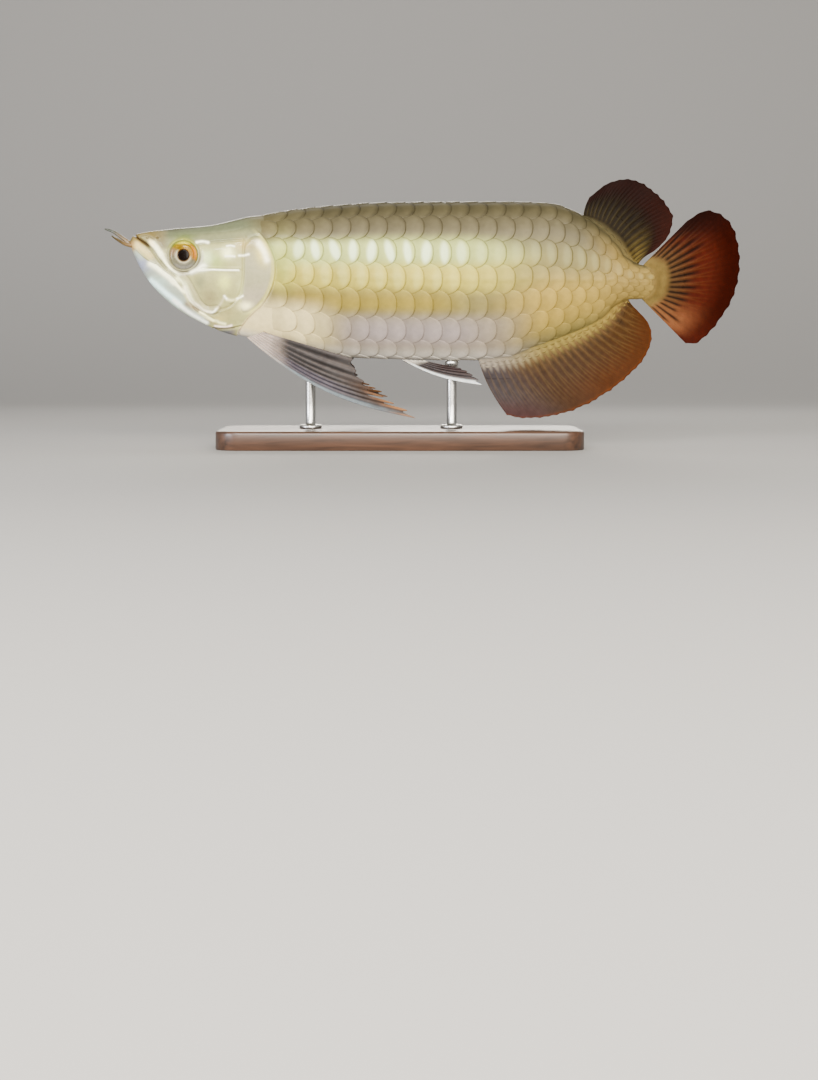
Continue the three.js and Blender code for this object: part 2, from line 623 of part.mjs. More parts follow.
// The stand.
function roundedPlate({ length, width, height, corner, bevel }) {
  const [x, y] = [length / 2 - bevel, width / 2 - bevel];
  const shape = new THREE.Shape();
  shape.moveTo(-x + corner, -y);
  shape.lineTo(x - corner, -y);
  shape.absarc(x - corner, -y + corner, corner, -Math.PI / 2, 0);
  shape.lineTo(x, y - corner);
  shape.absarc(x - corner, y - corner, corner, 0, Math.PI / 2);
  shape.lineTo(-x + corner, y);
  shape.absarc(-x + corner, y - corner, corner, Math.PI / 2, Math.PI);
  shape.lineTo(-x, -y + corner);
  shape.absarc(-x + corner, -y + corner, corner, Math.PI, 1.5 * Math.PI);
  const geometry = new THREE.ExtrudeGeometry(shape, {
    depth: height - 2 * bevel, bevelThickness: bevel, bevelSize: bevel, bevelSegments: 1, curveSegments: 4,
  });
  geometry.translate(0, 0, bevel);
  return solidOf(geometry);
}

function rodSolid(x) {
  const top = belly(x) + ROD.reach;
  const profile = [
    [0, BASE.height + GAP], [ROD.foot, BASE.height + GAP], [ROD.foot, BASE.height + ROD.footHeight - 1],
    [ROD.foot - 1, BASE.height + ROD.footHeight], [ROD.radius, BASE.height + ROD.footHeight],
    [ROD.radius, top], [0, top],
  ].map(([r, z]) => new THREE.Vector2(r, z));
  const geometry = new THREE.LatheGeometry(profile, ROD.sides);
  geometry.rotateX(Math.PI / 2);
  geometry.translate(x, 0, 0);
  return solidOf(geometry);
}

// Materials.
const finish = (color, roughness, metalness) =>
  new THREE.MeshStandardMaterial({ color, roughness, metalness });
const FINISH = {
  bone: finish(0xe6dfc9, 0.35, 0.1),
  jaw: finish(0xe9e6dc, 0.35, 0.1),
  scales: finish(0xdcc98c, 0.3, 0.35),
  rearScales: finish(0xe0c48a, 0.3, 0.35),
  eye: finish(0xd9b65a, 0.1, 0.2),
  barbel: finish(0xb98a4f, 0.5, 0),
  paleFin: finish(0xcfc2bd, 0.45, 0),
  analFin: finish(0xb9834f, 0.45, 0),
  dorsalFin: finish(0x7a5230, 0.45, 0),
  tailFin: finish(0x9a4524, 0.45, 0),
  base: finish(0x2e2a27, 0.4, 0),
  rod: finish(0xb8bbbe, 0.3, 1),
};

const fish = new THREE.Group();
const stand = new THREE.Group();
const whole = new THREE.Group();
whole.add(fish, stand);

// Slivers that the cuts leave are merged away, within SLIVER of the true shape.
function addNode(group, name, solid, material) {
  const mesh = new THREE.Mesh(geometryOf(solid.simplify(SLIVER)), material);
  mesh.name = name;
  group.add(mesh);
}

// Sideways bend of everything behind BEND_START_X.
function bend(geometry) {
  const position = geometry.getAttribute("position");
  for (let i = 0; i < position.count; i++) {
    const t = Math.max(0, (position.getX(i) - BEND_START_X) / (BEND_END_X - BEND_START_X));
    position.setY(i, position.getY(i) + BEND_SIDEWAYS * t ** 3);
  }
}

// Head: the front of the body, less the jaw and the pockets of the plates and eyes.
const pockets = joined([pocket(MAXILLA), pocket(GILL_COVER)]);
const seams = joined(CHEEK_SEAMS.map((line) => cut(line, SEAM_WIDTH))).subtract(underSeams);
const sides = [-1, 1];
const head = wholeHead
  .intersect(headRegion)
  .subtract(joined([jawRegion, mouthCut, gillCut, pockets, seams]))
  .add(joined(sides.map(eyeRim)))
  .add(joined(sides.flatMap((side) => NOSTRILS.map((nostril) => nostrilWall(nostril, side)))))
  .subtract(joined(sides.map((side) => eyeForm(side, GAP))))
  .subtract(joined(sides.flatMap((side) => NOSTRILS.map((nostril) => nostrilHole(nostril, side)))))
  .subtract(joined([jawRegion, mouthCut, pockets]));
addNode(fish, "head", largest(head), FINISH.bone);

const barbelRoots = joined(sides.map((side) => barbelSolid(side, GAP)));
const jaw = wholeHead.intersect(jawRegion).subtract(mouthCut).subtract(barbelRoots);
addNode(fish, "lower_jaw", largest(jaw), FINISH.jaw);

const maxillae = plates(MAXILLA).subtract(mouthCut);
const covers = plates(GILL_COVER).subtract(gillCut);
const torso = wholeTorso.subtract(headRegion).subtract(tailRegion).subtract(gillCut).subtract(tailCut);
addNode(fish, "torso", largest(torso), FINISH.scales);
addNode(fish, "tail_stem", largest(wholeTorso.intersect(tailRegion).subtract(tailCut)), FINISH.rearScales);
addNode(fish, "dorsal_fin", dorsalFin(), FINISH.dorsalFin);
addNode(fish, "anal_fin", analFin(), FINISH.analFin);
addNode(fish, "tail_fin", largest(tailFin().subtract(clearBody)), FINISH.tailFin);

for (const [side, word] of [[-1, "left"], [1, "right"]]) {
  addNode(fish, "maxilla_" + word, sideOf(maxillae, side), FINISH.bone);
  addNode(fish, "gill_cover_" + word, sideOf(covers, side), FINISH.bone);
  addNode(fish, "eye_" + word, eyeForm(side, 0), FINISH.eye);
  addNode(fish, "barbel_" + word, barbelSolid(side), FINISH.barbel);
  const swing = side > 0 ? FAR_PECTORAL : STILL;
  const pectoral = sideFin(PECTORAL_FIN, side, swing).subtract(clearBody);
  addNode(fish, "pectoral_fin_" + word, largest(pectoral), FINISH.paleFin);
  const pelvic = sideFin(PELVIC_FIN, side, STILL).subtract(clearBody);
  addNode(fish, "pelvic_fin_" + word, largest(pelvic), FINISH.paleFin);
}
fish.children.forEach((mesh) => bend(mesh.geometry));

addNode(stand, "stand_base", roundedPlate(BASE), FINISH.base);
ROD_X.forEach((x, i) => {
  const name = i === 0 ? "stand_rod_front" : "stand_rod_rear";
  addNode(stand, name, largest(rodSolid(x).subtract(clearBody)), FINISH.rod);
});

export default whole;
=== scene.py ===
# %% [markdown]
# # An Asian arowana, life size, on a display stand
#
# The CAD model gives the size and place of every part. This script dresses it: one skin over the
# whole body, nearly four hundred large scales laid on it like tiles, a finely ridged head, fins
# with branching rays, wet eyes, and a stand of dark oiled wood with two steel rods.
#
# Lengths below are in millimetres, because that is how a modelmaker measures a fish. They turn into
# metres only where a mesh is made.

# %% Load the frame
import math

import bpy
import numpy as np
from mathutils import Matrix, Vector


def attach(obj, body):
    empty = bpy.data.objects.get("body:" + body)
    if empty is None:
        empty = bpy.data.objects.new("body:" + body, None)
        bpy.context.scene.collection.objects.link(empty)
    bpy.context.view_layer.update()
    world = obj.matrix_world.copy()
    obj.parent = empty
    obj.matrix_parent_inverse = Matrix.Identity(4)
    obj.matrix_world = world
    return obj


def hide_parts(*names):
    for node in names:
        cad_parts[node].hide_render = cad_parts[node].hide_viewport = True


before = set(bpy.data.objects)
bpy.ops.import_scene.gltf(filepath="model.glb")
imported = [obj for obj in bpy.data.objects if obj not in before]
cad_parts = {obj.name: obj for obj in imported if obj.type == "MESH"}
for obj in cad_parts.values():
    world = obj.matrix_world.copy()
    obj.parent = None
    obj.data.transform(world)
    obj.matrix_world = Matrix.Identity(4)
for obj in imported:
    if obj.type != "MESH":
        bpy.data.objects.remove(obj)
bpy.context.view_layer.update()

MM = 0.001
rng = np.random.default_rng(11)
print("nodes:", len(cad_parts))

# %% [markdown]
# ## Camera first
#
# The photo looks at the fish's left side, level with its lower half. The camera stands 1.5 m away,
# which keeps the near and far fins in the right proportion, and looks slightly down, so that the
# fish swims in the upper part of a tall frame and the stand and floor fill the rest.

# %% Camera
CAMERA_X, CAMERA_AWAY, CAMERA_HEIGHT = 7.2, 1500, 85
CAMERA_DOWN = math.radians(6.11)
FOCAL_LENGTH = 62.0

camera_data = bpy.data.cameras.new("camera")
camera_data.lens = FOCAL_LENGTH
camera_data.sensor_width = 36.0
camera = bpy.data.objects.new("camera", camera_data)
bpy.context.scene.collection.objects.link(camera)
camera.location = (CAMERA_X * MM, -CAMERA_AWAY * MM, CAMERA_HEIGHT * MM)
camera.rotation_euler = (math.pi / 2 - CAMERA_DOWN, 0, 0)
bpy.context.scene.camera = camera
print("camera at", tuple(round(c, 3) for c in camera.location))


def seen(points):
    """Where points appear from the camera, as x and z on the fish's middle plane."""
    nearer = CAMERA_AWAY / (CAMERA_AWAY - np.abs(points[..., 1]))
    x = CAMERA_X + (points[..., 0] - CAMERA_X) * nearer
    z = CAMERA_HEIGHT + (points[..., 2] - CAMERA_HEIGHT) * nearer
    return x, z


# %% [markdown]
# ## The form of the body
#
# A fish's body is a stack of rounded cross-sections. Four lines run from snout to tail: the back,
# the belly, half of the width, and the level at which the body is widest. Each is a smooth curve
# through a few measured pairs, and it never overshoots them. The solids of the CAD model come from
# the same four lines.

# %% Smooth lines through measured pairs
BACK_LINE = [
    (-215.2, 164.4), (-209.5, 169.6), (-181, 173.6), (-152, 176.2), (-119, 183.4), (-69, 191.2),
    (-10, 195), (80, 195.6), (118, 194.6), (142, 187), (170, 167), (182, 152), (193, 146.2),
    (212, 144.5),
]
BELLY_LINE = [
    (-215.2, 162.4), (-213.2, 156), (-204, 137.4), (-191, 121.4), (-177.5, 110), (-161, 100.5),
    (-140, 91.4), (-120, 86.5), (-80, 77.4), (-40, 71.2), (60, 69.2), (87, 71), (105, 78),
    (142, 92), (162, 102), (175, 114), (186, 118), (212, 118.5),
]
HALF_WIDTH = [
    (-215.2, 1.6), (-212.5, 5.6), (-206, 9.2), (-195, 12.6), (-180, 15.2), (-160, 17.4),
    (-135, 19.8), (-110, 21.8), (-70, 23.6), (-20, 24.2), (40, 23.8), (90, 21.6), (130, 17.2),
    (160, 12.2), (182, 8.4), (200, 5.2), (212, 2.6),
]
WIDEST_LEVEL = [
    (-215.2, 163.4), (-205, 157), (-190, 152.5), (-172, 149.5), (-140, 144), (-100, 140),
    (-30, 138), (60, 137), (120, 139), (160, 136), (185, 133), (212, 131.5),
]
NOSE_X, BODY_END_X = -215.2, 210.0
BEND_START_X, BEND_END_X, BEND_SIDEWAYS = 60.0, 278.0, 35.0


def smooth_line(pairs):
    """A curve through the pairs that never overshoots them."""
    xs, zs = np.array(pairs, float).T
    rise = np.diff(zs) / np.diff(xs)
    slope = np.concatenate([rise[:1], np.zeros(len(xs) - 2), rise[-1:]])
    same = rise[:-1] * rise[1:] > 0
    slope[1:-1][same] = 2 * rise[:-1][same] * rise[1:][same] / (rise[:-1] + rise[1:])[same]

    def height(x):
        k = np.clip(np.searchsorted(xs, x, side="right"), 1, len(xs) - 1)
        width = xs[k] - xs[k - 1]
        t = np.clip((x - xs[k - 1]) / width, 0, 1)
        start = zs[k - 1] * (1 + 2 * t) * (1 - t) ** 2 + slope[k - 1] * width * t * (1 - t) ** 2
        return start + zs[k] * t * t * (3 - 2 * t) + slope[k] * width * t * t * (t - 1)

    return height


def smooth(value, start, end):
    """0 before the start, 1 past the end, and a soft climb between them."""
    t = np.clip((value - start) / (end - start), 0, 1)
    return t * t * (3 - 2 * t)


def mix(a, b, t):
    """From a to b by the share t."""
    return a + (b - a) * t


back, belly = smooth_line(BACK_LINE), smooth_line(BELLY_LINE)
half_width, widest = smooth_line(HALF_WIDTH), smooth_line(WIDEST_LEVEL)
print("depth at the middle:", round(float(back(20.0) - belly(20.0)), 1), "mm")

# %% [markdown]
# A point of the skin is named by two numbers: `x` along the fish, and `round`, which runs evenly
# over the girth. It is 0 on the back, 1 on the belly along the left side, and goes on to 2 along
# the right side. A table of sections, one each half millimetre, answers every question quickly.

# %% The skin as a surface of two numbers
FLAT_SKULL, ROUND_BACK = 2.9, 2.3
JAW_KEEL, ROUND_BELLY = 1.75, 2.1
RING_STEP, GIRTH_STEPS, SECTION_STEPS = 0.5, 256, 192


def section_table():
    """Half sections at every ring, from back to belly, with their points spaced evenly."""
    xs = np.arange(NOSE_X, BODY_END_X + RING_STEP, RING_STEP)
    angle = np.linspace(0, np.pi, SECTION_STEPS + 1)[None, :]
    top = mix(FLAT_SKULL, ROUND_BACK, smooth(xs, -150, -60))[:, None]
    low = mix(JAW_KEEL, ROUND_BELLY, smooth(xs, -150, -70))[:, None]
    power = 2 / np.where(angle < np.pi / 2, top, low)
    reach = np.where(angle < np.pi / 2, back(xs)[:, None], belly(xs)[:, None]) - widest(xs)[:, None]
    y = half_width(xs)[:, None] * np.sin(angle).clip(0) ** power
    z = widest(xs)[:, None] + reach * np.abs(np.cos(angle)) ** power
    gone = np.cumsum(np.hypot(np.diff(y, axis=1), np.diff(z, axis=1)), axis=1)
    gone = np.hstack([np.zeros((len(xs), 1)), gone])
    table = np.empty((len(xs), GIRTH_STEPS + 1, 2))
    for i in range(len(xs)):
        wanted = np.linspace(0, gone[i, -1], GIRTH_STEPS + 1)
        table[i, :, 0] = np.interp(wanted, gone[i], y[i])
        table[i, :, 1] = np.interp(wanted, gone[i], z[i])
    return xs, table, gone[:, -1]


RING_X, SECTIONS, HALF_GIRTH = section_table()


def skin_point(x, round_):
    """The skin's point before the body is bent, as an array of x, y, z."""
    turn = np.mod(round_, 2)
    v = np.where(turn <= 1, turn, 2 - turn)
    side = np.where(turn <= 1, -1.0, 1.0)
    ring = ((np.clip(x, NOSE_X, BODY_END_X) - NOSE_X) / RING_STEP).clip(0, len(RING_X) - 1.001)
    step = (v * GIRTH_STEPS).clip(0, GIRTH_STEPS - 0.001)
    i, j = ring.astype(int), step.astype(int)
    a, b = (ring - i)[..., None], (step - j)[..., None]
    near = SECTIONS[i, j] * (1 - b) + SECTIONS[i, j + 1] * b
    far = SECTIONS[i + 1, j] * (1 - b) + SECTIONS[i + 1, j + 1] * b
    yz = near * (1 - a) + far * a
    return np.stack([x + 0 * v, side * yz[..., 0], yz[..., 1]], axis=-1)


def unit(vectors):
    return vectors / np.maximum(np.linalg.norm(vectors, axis=-1, keepdims=True), 1e-9)


def skin_normal(x, round_):
    """The way that the skin faces."""
    ahead = skin_point(np.minimum(x + 0.8, BODY_END_X), round_)
    behind = skin_point(np.maximum(x - 0.8, NOSE_X), round_)
    along = ahead - behind
    over = skin_point(x, round_ + 0.006) - skin_point(x, round_ - 0.006)
    return unit(np.cross(over, along))


def bent(points):
    """Swings the tail sideways, as in the photo, where it turns away from the eye."""
    t = np.clip((points[..., 0] - BEND_START_X) / (BEND_END_X - BEND_START_X), 0, None)
    swung = points.copy()
    swung[..., 1] += BEND_SIDEWAYS * t**3
    return swung


def on_skin(x, round_, proud):
    """A point that stands `proud` millimetres out of the skin."""
    x, round_ = np.broadcast_arrays(np.asarray(x, float), np.asarray(round_, float))
    return bent(skin_point(x, round_) + skin_normal(x, round_) * np.asarray(proud)[..., None])


print("sections:", len(RING_X), "half girth at the middle:", round(float(HALF_GIRTH[430])), "mm")

# %% [markdown]
# ## Making meshes from arrays
#
# Modelling by hand would take weeks for this many scales. Instead each form is a grid of points
# worked out by a formula, and one helper turns a grid into a mesh. Named numbers can ride along on
# the vertices: the materials read them to know where a scale's edge or a fin's ray is.

# %% Mesh helpers
def grid_faces(rows, columns, closed=False):
    """The four-sided faces between the points of a grid, which may close on itself along a row."""
    across = np.arange(columns if closed else columns - 1)
    row = np.arange(rows - 1)[:, None]
    a, b = row * columns + across, row * columns + (across + 1) % columns
    return np.stack([a, b, b + columns, a + columns], axis=-1).reshape(-1, 4)


def signed_volume(points, faces):
    """The volume inside closed faces. It is negative where they face inwards."""
    total = 0.0
    for block in faces:
        corners = points[block]
        for k in range(1, block.shape[1] - 1):
            total += np.einsum("ij,ij->", corners[:, 0], np.cross(corners[:, k], corners[:, k + 1]))
    return total / 6


def new_piece(name, points, faces, numbers=None, colour=None, map_points=None):
    """A mesh object from points in millimetres. Faces are blocks of triangles or of quads."""
    points = np.asarray(points, float).reshape(-1, 3)
    if signed_volume(points, faces) < 0:
        faces = [block[:, ::-1] for block in faces]
    mesh = bpy.data.meshes.new(name)
    corners = np.concatenate([block.ravel() for block in faces]).astype(np.int32)
    sizes = np.concatenate([np.full(len(block), block.shape[1]) for block in faces])
    mesh.vertices.add(len(points))
    mesh.vertices.foreach_set("co", (points * MM).astype(np.float32).ravel())
    mesh.loops.add(len(corners))
    mesh.loops.foreach_set("vertex_index", corners)
    mesh.polygons.add(len(sizes))
    starts = np.concatenate([[0], np.cumsum(sizes)[:-1]]).astype(np.int32)
    mesh.polygons.foreach_set("loop_start", starts)
    mesh.polygons.foreach_set("use_smooth", np.ones(len(sizes), bool))
    mesh.update(calc_edges=True)
    for key, values in (numbers or {}).items():
        layer = mesh.attributes.new(key, "FLOAT", "POINT")
        layer.data.foreach_set("value", np.asarray(values, np.float32).ravel())
    if colour is not None:
        layer = mesh.attributes.new("airbrush", "FLOAT_COLOR", "POINT")
        paint = np.hstack([colour.reshape(-1, 3), np.ones((len(points), 1))])
        layer.data.foreach_set("color", paint.astype(np.float32).ravel())
    if map_points is not None:
        layer = mesh.uv_layers.new(name="OFBake")
        layer.data.foreach_set("uv", map_points.reshape(-1, 2)[corners].astype(np.float32).ravel())
    piece = bpy.data.objects.new(name, mesh)
    bpy.context.scene.collection.objects.link(piece)
    print(f"{name}: {int((sizes - 2).sum())} triangles")
    return piece


print("a grid of 3 by 4 points has", len(grid_faces(3, 4)), "faces")

# %% [markdown]
# ## Colour
#
# Colours are written as sRGB hex, as a paint chart gives them, and one function turns them to the
# linear values that Blender mixes. The fish is a pale gold one, and it is airbrushed in bands, as a
# modelmaker would do it: a tan ground, gold along the middle, straw above it, olive on the back,
# amber low on the flank, cream behind the throat and lilac under the belly. The same spraying goes
# over the skin and over the scales, so that no gap between scales shows up.

# %% Hex colours and the airbrush
def linear(code):
    """The linear red, green and blue of an sRGB hex code."""
    srgb = np.array([int(code[i:i + 2], 16) / 255 for i in (1, 3, 5)])
    return np.where(srgb <= 0.04045, srgb / 12.92, ((srgb + 0.055) / 1.055) ** 2.4)


def fill(like, code):
    """One colour at every point."""
    return np.broadcast_to(linear(code), np.shape(like) + (3,)).copy()


def tint(under, code, share):
    """Sprays a colour over what is there, by a share from 0 to 1 at each point."""
    return under + (linear(code) - under) * np.clip(share, 0, 1)[..., None]


def spray(under, coats):
    """Sprays one coat after another, each a colour with its share."""
    for code, share in coats:
        under = tint(under, code, share)
    return under


def band(value, start, end, soft):
    """1 between start and end, fading to 0 over a width on both sides."""
    return smooth(value, start - soft, start + soft) * (1 - smooth(value, end - soft, end + soft))


def flank_colour(x, z):
    """The airbrushing of the body, by place along it and by level between belly and back."""
    level = np.clip((z - belly(x)) / np.maximum(back(x) - belly(x), 1), 0, 1)
    front, rear = 1 - smooth(x, 40, 130), smooth(x, 50, 120)
    nape = smooth(x, -120, -40)
    olive = smooth(level, mix(0.71, 0.58, rear), mix(0.82, 0.8, rear))
    collar = np.exp(-(((x + 92) / 8) ** 2) - ((z - 146) / 17) ** 2)
    return spray(fill(level, "#655d37"), [
        ("#897331", 0.9 * rear * band(level, 0.08, 0.46, 0.12)),
        ("#968a35", front * band(level, 0.43, 0.64, 0.05)),
        ("#929955", front * band(level, 0.60, 0.78, 0.05)),
        ("#756628", band(x, -94, 46, 22) * band(level, 0.29, 0.43, 0.06)),
        ("#766b5a", band(x, -58, 92, 24) * (1 - smooth(level, 0.22, 0.34))),
        ("#847a7c", 0.6 * band(x, -40, 60, 20) * band(level, 0.1, 0.24, 0.07)),
        ("#c4b380", (1 - smooth(x, -80, -40)) * (1 - smooth(level, 0.24, 0.4))),
        ("#b8b3a8", 0.75 * front * (1 - smooth(level, 0.0, 0.1))),
        ("#4d4734", olive * mix(0.6, 1, nape)),
        ("#3d3826", smooth(level, 0.86, 0.96) * mix(0.3, 1, nape)),
        ("#756232", smooth(x, 140, 185) * (1 - smooth(level, 0.8, 1))),
        ("#8a8c3e", 0.85 * collar),
    ])


print("gold of the flank, linear:", np.round(flank_colour(np.array(-40.0), np.array(137.0)), 3))

# %% [markdown]
# ## Drawing on the head
#
# Head bones meet in grooves, and the jaws, lips and gill cover are raised plates. All of them are
# drawn as lines on a side view of the head, smoothed, and pressed into the skin by their distance
# from each point: a groove is a dent that follows a line, and a plate is a step round an outline.

# %% Lines and outlines on the side of the head
# All of them are as they appear from the camera, on the fish's middle plane. The mouth runs from
# the tip of the snout back and down to its corner.
MOUTH = [
    (-219, 174), (-212, 169), (-208.6, 166.2), (-205, 163.6), (-201.5, 160.8), (-199, 158.2),
    (-196.6, 155), (-194.4, 151.4), (-191.8, 147.8), (-188.8, 144), (-185.8, 140.9), (-182.6, 138.2),
    (-179.4, 135.6), (-176.6, 132.4), (-174.2, 128.4), (-172.2, 123.6), (-170.4, 118.8), (-168, 114.6),
    (-164.4, 111.2), (-160, 108), (-155.6, 105.2), (-150.6, 102.2), (-145, 99.4), (-138, 97.2),
]
UPPER_JAW = [
    (-206.5, 167), (-200.8, 162), (-197.9, 159), (-195.5, 155.8), (-193.2, 152), (-190.4, 148.4),
    (-187.2, 144.8), (-183.8, 141.8), (-180.4, 139.2), (-176.6, 136.4), (-173, 131.8), (-170.8, 126.6),
    (-169, 121.2), (-166.8, 117), (-163.2, 113.4), (-159.2, 110.2), (-155.4, 107.4), (-151, 106.4),
    (-147.2, 107.2), (-144.6, 110), (-146.8, 112.2), (-152.5, 111.6), (-157, 113.4), (-161, 118.6),
    (-164.6, 125.4), (-168, 131.6), (-172, 137), (-177, 141.4), (-182, 146), (-185.8, 151.2),
    (-189, 157), (-192.2, 161.6), (-196.8, 165.4), (-202, 168.2),
]
GILL_PLATE = [
    (-124.2, 158), (-120.4, 165), (-114, 167.6), (-107.2, 163.6), (-102.4, 153), (-101.6, 141),
    (-104, 129), (-109.6, 118.4), (-116.6, 111.8), (-124.6, 108), (-127.4, 112.6), (-126, 122),
    (-124.6, 134), (-124.2, 146),
]
GILL_EDGE = [
    (-119.2, 206), (-119.2, 184), (-116, 175), (-110, 168.8), (-104.8, 161.4), (-100.6, 149.6),
    (-100.6, 136), (-104.2, 124), (-110.8, 113.6), (-118.6, 106.4), (-125, 99.4), (-130, 91),
    (-132, 76),
]
CHEEK_SEAM = [(-157, 143), (-147, 141.8), (-128.4, 141.4)]
BROW_SEAM = [(-160, 161.4), (-146, 163.6), (-124.6, 165)]
PREOPERCLE = [(-124, 166), (-125.2, 150), (-125.6, 134), (-129, 121), (-136, 112.6), (-145, 109.4)]
LIP_LINE = [
    (-214, 160), (-206, 152.6), (-200, 148.2), (-195, 145.8), (-190, 141.8), (-185, 138), (-181, 134.8),
    (-177.6, 130.6), (-174.6, 126), (-172.2, 121), (-169.4, 115.4), (-165, 110), (-160, 106.4),
    (-154, 103), (-148, 100.2), (-142, 98.4),
]
THROAT_SEAM = [(-149, 95.2), (-143, 94.6), (-134, 95.2), (-126, 96.8)]
SKULL_SEAM = [(-196, 170.6), (-178, 169.4), (-152, 170.4), (-132, 172.6), (-119, 177)]
print("points in the mouth's line:", len(MOUTH), "and round the gill plate:", len(GILL_PLATE))

# %% [markdown]
# ### Strokes and clouds
#
# Two more kinds of mark lie on the same side view: bright ridges, raised lines whose near-white paint
# is a painted highlight where wet skin over bone catches the light, and the strokes and clouds of the
# airbrush.

# %% Marks on the head
# Bright ridges: each is a line, its half width and its height. Their near-white paint is a painted highlight
# on wet bone.
RIDGES_WITH_PAINTED_GLINTS = [
    ([(-162, 163.2), (-157.5, 163.8), (-153, 163)], 0.9, 0.4),
    ([(-138, 160.2), (-135, 160.6), (-132, 160)], 0.6, 0.3),
    ([(-139, 152), (-135.5, 152.2), (-132, 152)], 0.7, 0.3),
    ([(-128.4, 152.6), (-124, 152.8), (-120.6, 153.6)], 0.7, 0.3),
    ([(-166.4, 139.4), (-162, 141.4), (-157, 144.2)], 1.4, 0.5),
    ([(-162, 140.4), (-157, 141), (-150, 141.6), (-141, 141.3), (-129, 141.2)], 0.55, 0.5),
    ([(-140.2, 120.6), (-139.4, 119.4), (-138.6, 118.4)], 0.8, 0.6),
    ([(-130.6, 118.4), (-128, 119.3), (-125.6, 120.8)], 0.6, 0.6),
    ([(-150.4, 107.8), (-148.8, 108.4), (-146.8, 110.4)], 0.8, 0.5),
]
# Strokes of the airbrush on the head: colour, half width, share and the line they follow. The cream and
# white ones on the jaws and the gill cover are partly the pale colour of the bone and partly painted
# highlights on wet edges.
HEAD_STROKES = [
    ("#9fae9f", 2.4, 0.7, [(-210, 156), (-207, 151.6)]),
    ("#bda862", 3.4, 0.9, [(-209, 160.4), (-204, 157), (-198.6, 152.6)]),
    # The next three strokes darken the line of the closed mouth and its corner: painted shade in the cleft.
    ("#7b7856", 1.7, 0.9, MOUTH[4:15]),
    ("#76684c", 2.2, 0.85, [(-170.4, 114.4), (-166.4, 111.8), (-162, 109.6), (-158.6, 107)]),
    ("#4f3e28", 0.6, 0.8, [(-166, 112), (-162.6, 110), (-159.2, 107.6)]),
    ("#7d704d", 1.0, 0.8, [(-156, 101.8), (-151, 100), (-147, 98.4)]),
    # From here the pale strokes are partly the jaws' own cream and partly painted highlights where their wet
    # edges catch the light.
    ("#eaeab2", 2.1, 1.0, [(-177.6, 134.8), (-172.6, 130.6), (-169.6, 123.6), (-167.2, 118)]),
    ("#fff6cc", 1.6, 1.0, [(-172, 127.4), (-170.2, 122), (-168.4, 118.4), (-165.4, 115.4), (-161, 112.4),
                           (-157, 109.2), (-152, 108)]),
    ("#fffcca", 2.3, 1.0, [(-196.6, 162), (-193.2, 157.6), (-190.2, 153)]),
    ("#fffcca", 1.4, 1.0, [(-191.4, 154.6), (-188.2, 149.6), (-185.4, 145), (-183.8, 142.6)]),
    ("#fffdd0", 1.3, 1.0, [(-184, 142.8), (-180.6, 140), (-176.8, 137.2)]),
    ("#fffdd4", 2.1, 1.0, [(-199.4, 146.2), (-195, 143.6), (-190, 139.6), (-185, 135.6), (-180.6, 131.6)]),
    ("#fffcca", 1.3, 1.0, [(-182.4, 133), (-177, 127.8), (-172.6, 123.6)]),
    ("#ddfff8", 2.3, 1.0, [(-199, 132.8), (-193, 128), (-187.4, 123), (-182, 118.6), (-176.8, 114.4)]),
    ("#fbffee", 1.6, 1.0, [(-181, 117.6), (-175.6, 113), (-170, 108.4), (-165, 105.2), (-160, 102.2),
                           (-155, 99.4)]),
    ("#f6f0b2", 1.0, 1.0, [(-160.4, 107.4), (-157, 105.6), (-154, 103.6), (-151, 102)]),
    ("#fbf6b4", 1.0, 1.0, [(-149.8, 101.3), (-147, 101), (-144.4, 99.6), (-140, 98.5)]),
    ("#fbe4d2", 0.8, 1.0, [(-148, 96.8), (-143, 96.3), (-139, 96.1), (-135, 97.4)]),
    ("#fff8d0", 2.6, 0.85, [(-112.4, 162), (-108.4, 156), (-106.2, 149.4)]),
    ("#b5ab84", 0.9, 0.8, [(-147, 110.6), (-143.6, 114.4), (-140.6, 119.6)]),
    ("#ded79a", 1.1, 0.95, [(-138.4, 118), (-134.6, 117.3), (-131, 117.9), (-128.4, 119.2)]),
    ("#ffe9a4", 1.5, 0.8, [(-198.6, 163.4), (-196.6, 161)]),
    ("#4d4037", 0.7, 0.8, [(-151, 95), (-146, 94.4), (-140, 94.6), (-133, 95.4)]),
]
# Soft clouds on the head: colour, middle, reach both ways and share. The near-white ones on the cheek are
# partly the plates' pale tone and partly painted highlights.
HEAD_CLOUDS = [
    ("#919f51", -147, 149, 8, 7, 0.8), ("#c7d595", -154.6, 151.6, 5, 5, 0.95),
    ("#ffffb4", -137.4, 154.6, 4.8, 4, 0.95), ("#f8ffe0", -158.4, 144, 4.4, 3.4, 0.8),
    ("#9f8d51", -125, 161, 6, 5, 0.9), ("#70704d", -159.6, 131.6, 4.4, 6, 0.85),
    ("#7e754f", -152.6, 119, 6.2, 9, 0.9), ("#cdcf6c", -140, 132, 4.6, 5.4, 0.9),
    ("#615e3c", -134, 115, 3.4, 1.2, 0.6), ("#8e8553", -138, 108, 9, 5, 0.7),
    ("#f8efae", -123.4, 112.8, 5.4, 3.4, 1.0), ("#a9a96d", -128, 129, 2.6, 9, 0.7),
    ("#b3a35f", -145, 102.6, 6, 2.6, 0.7), ("#545f2f", -171, 167.4, 8, 2.6, 0.8),
]
print("drawn on the head:", len(RIDGES_WITH_PAINTED_GLINTS), "ridges,", len(HEAD_STROKES), "strokes,",
      len(HEAD_CLOUDS), "clouds")

# %% [markdown]
# ### How far a point is from a line
#
# A line is first rounded through its points. For each point of the skin, the nearest spot on the
# line gives the distance, the side and the share of the line's length. A closed outline also tells
# whether the point lies inside it.

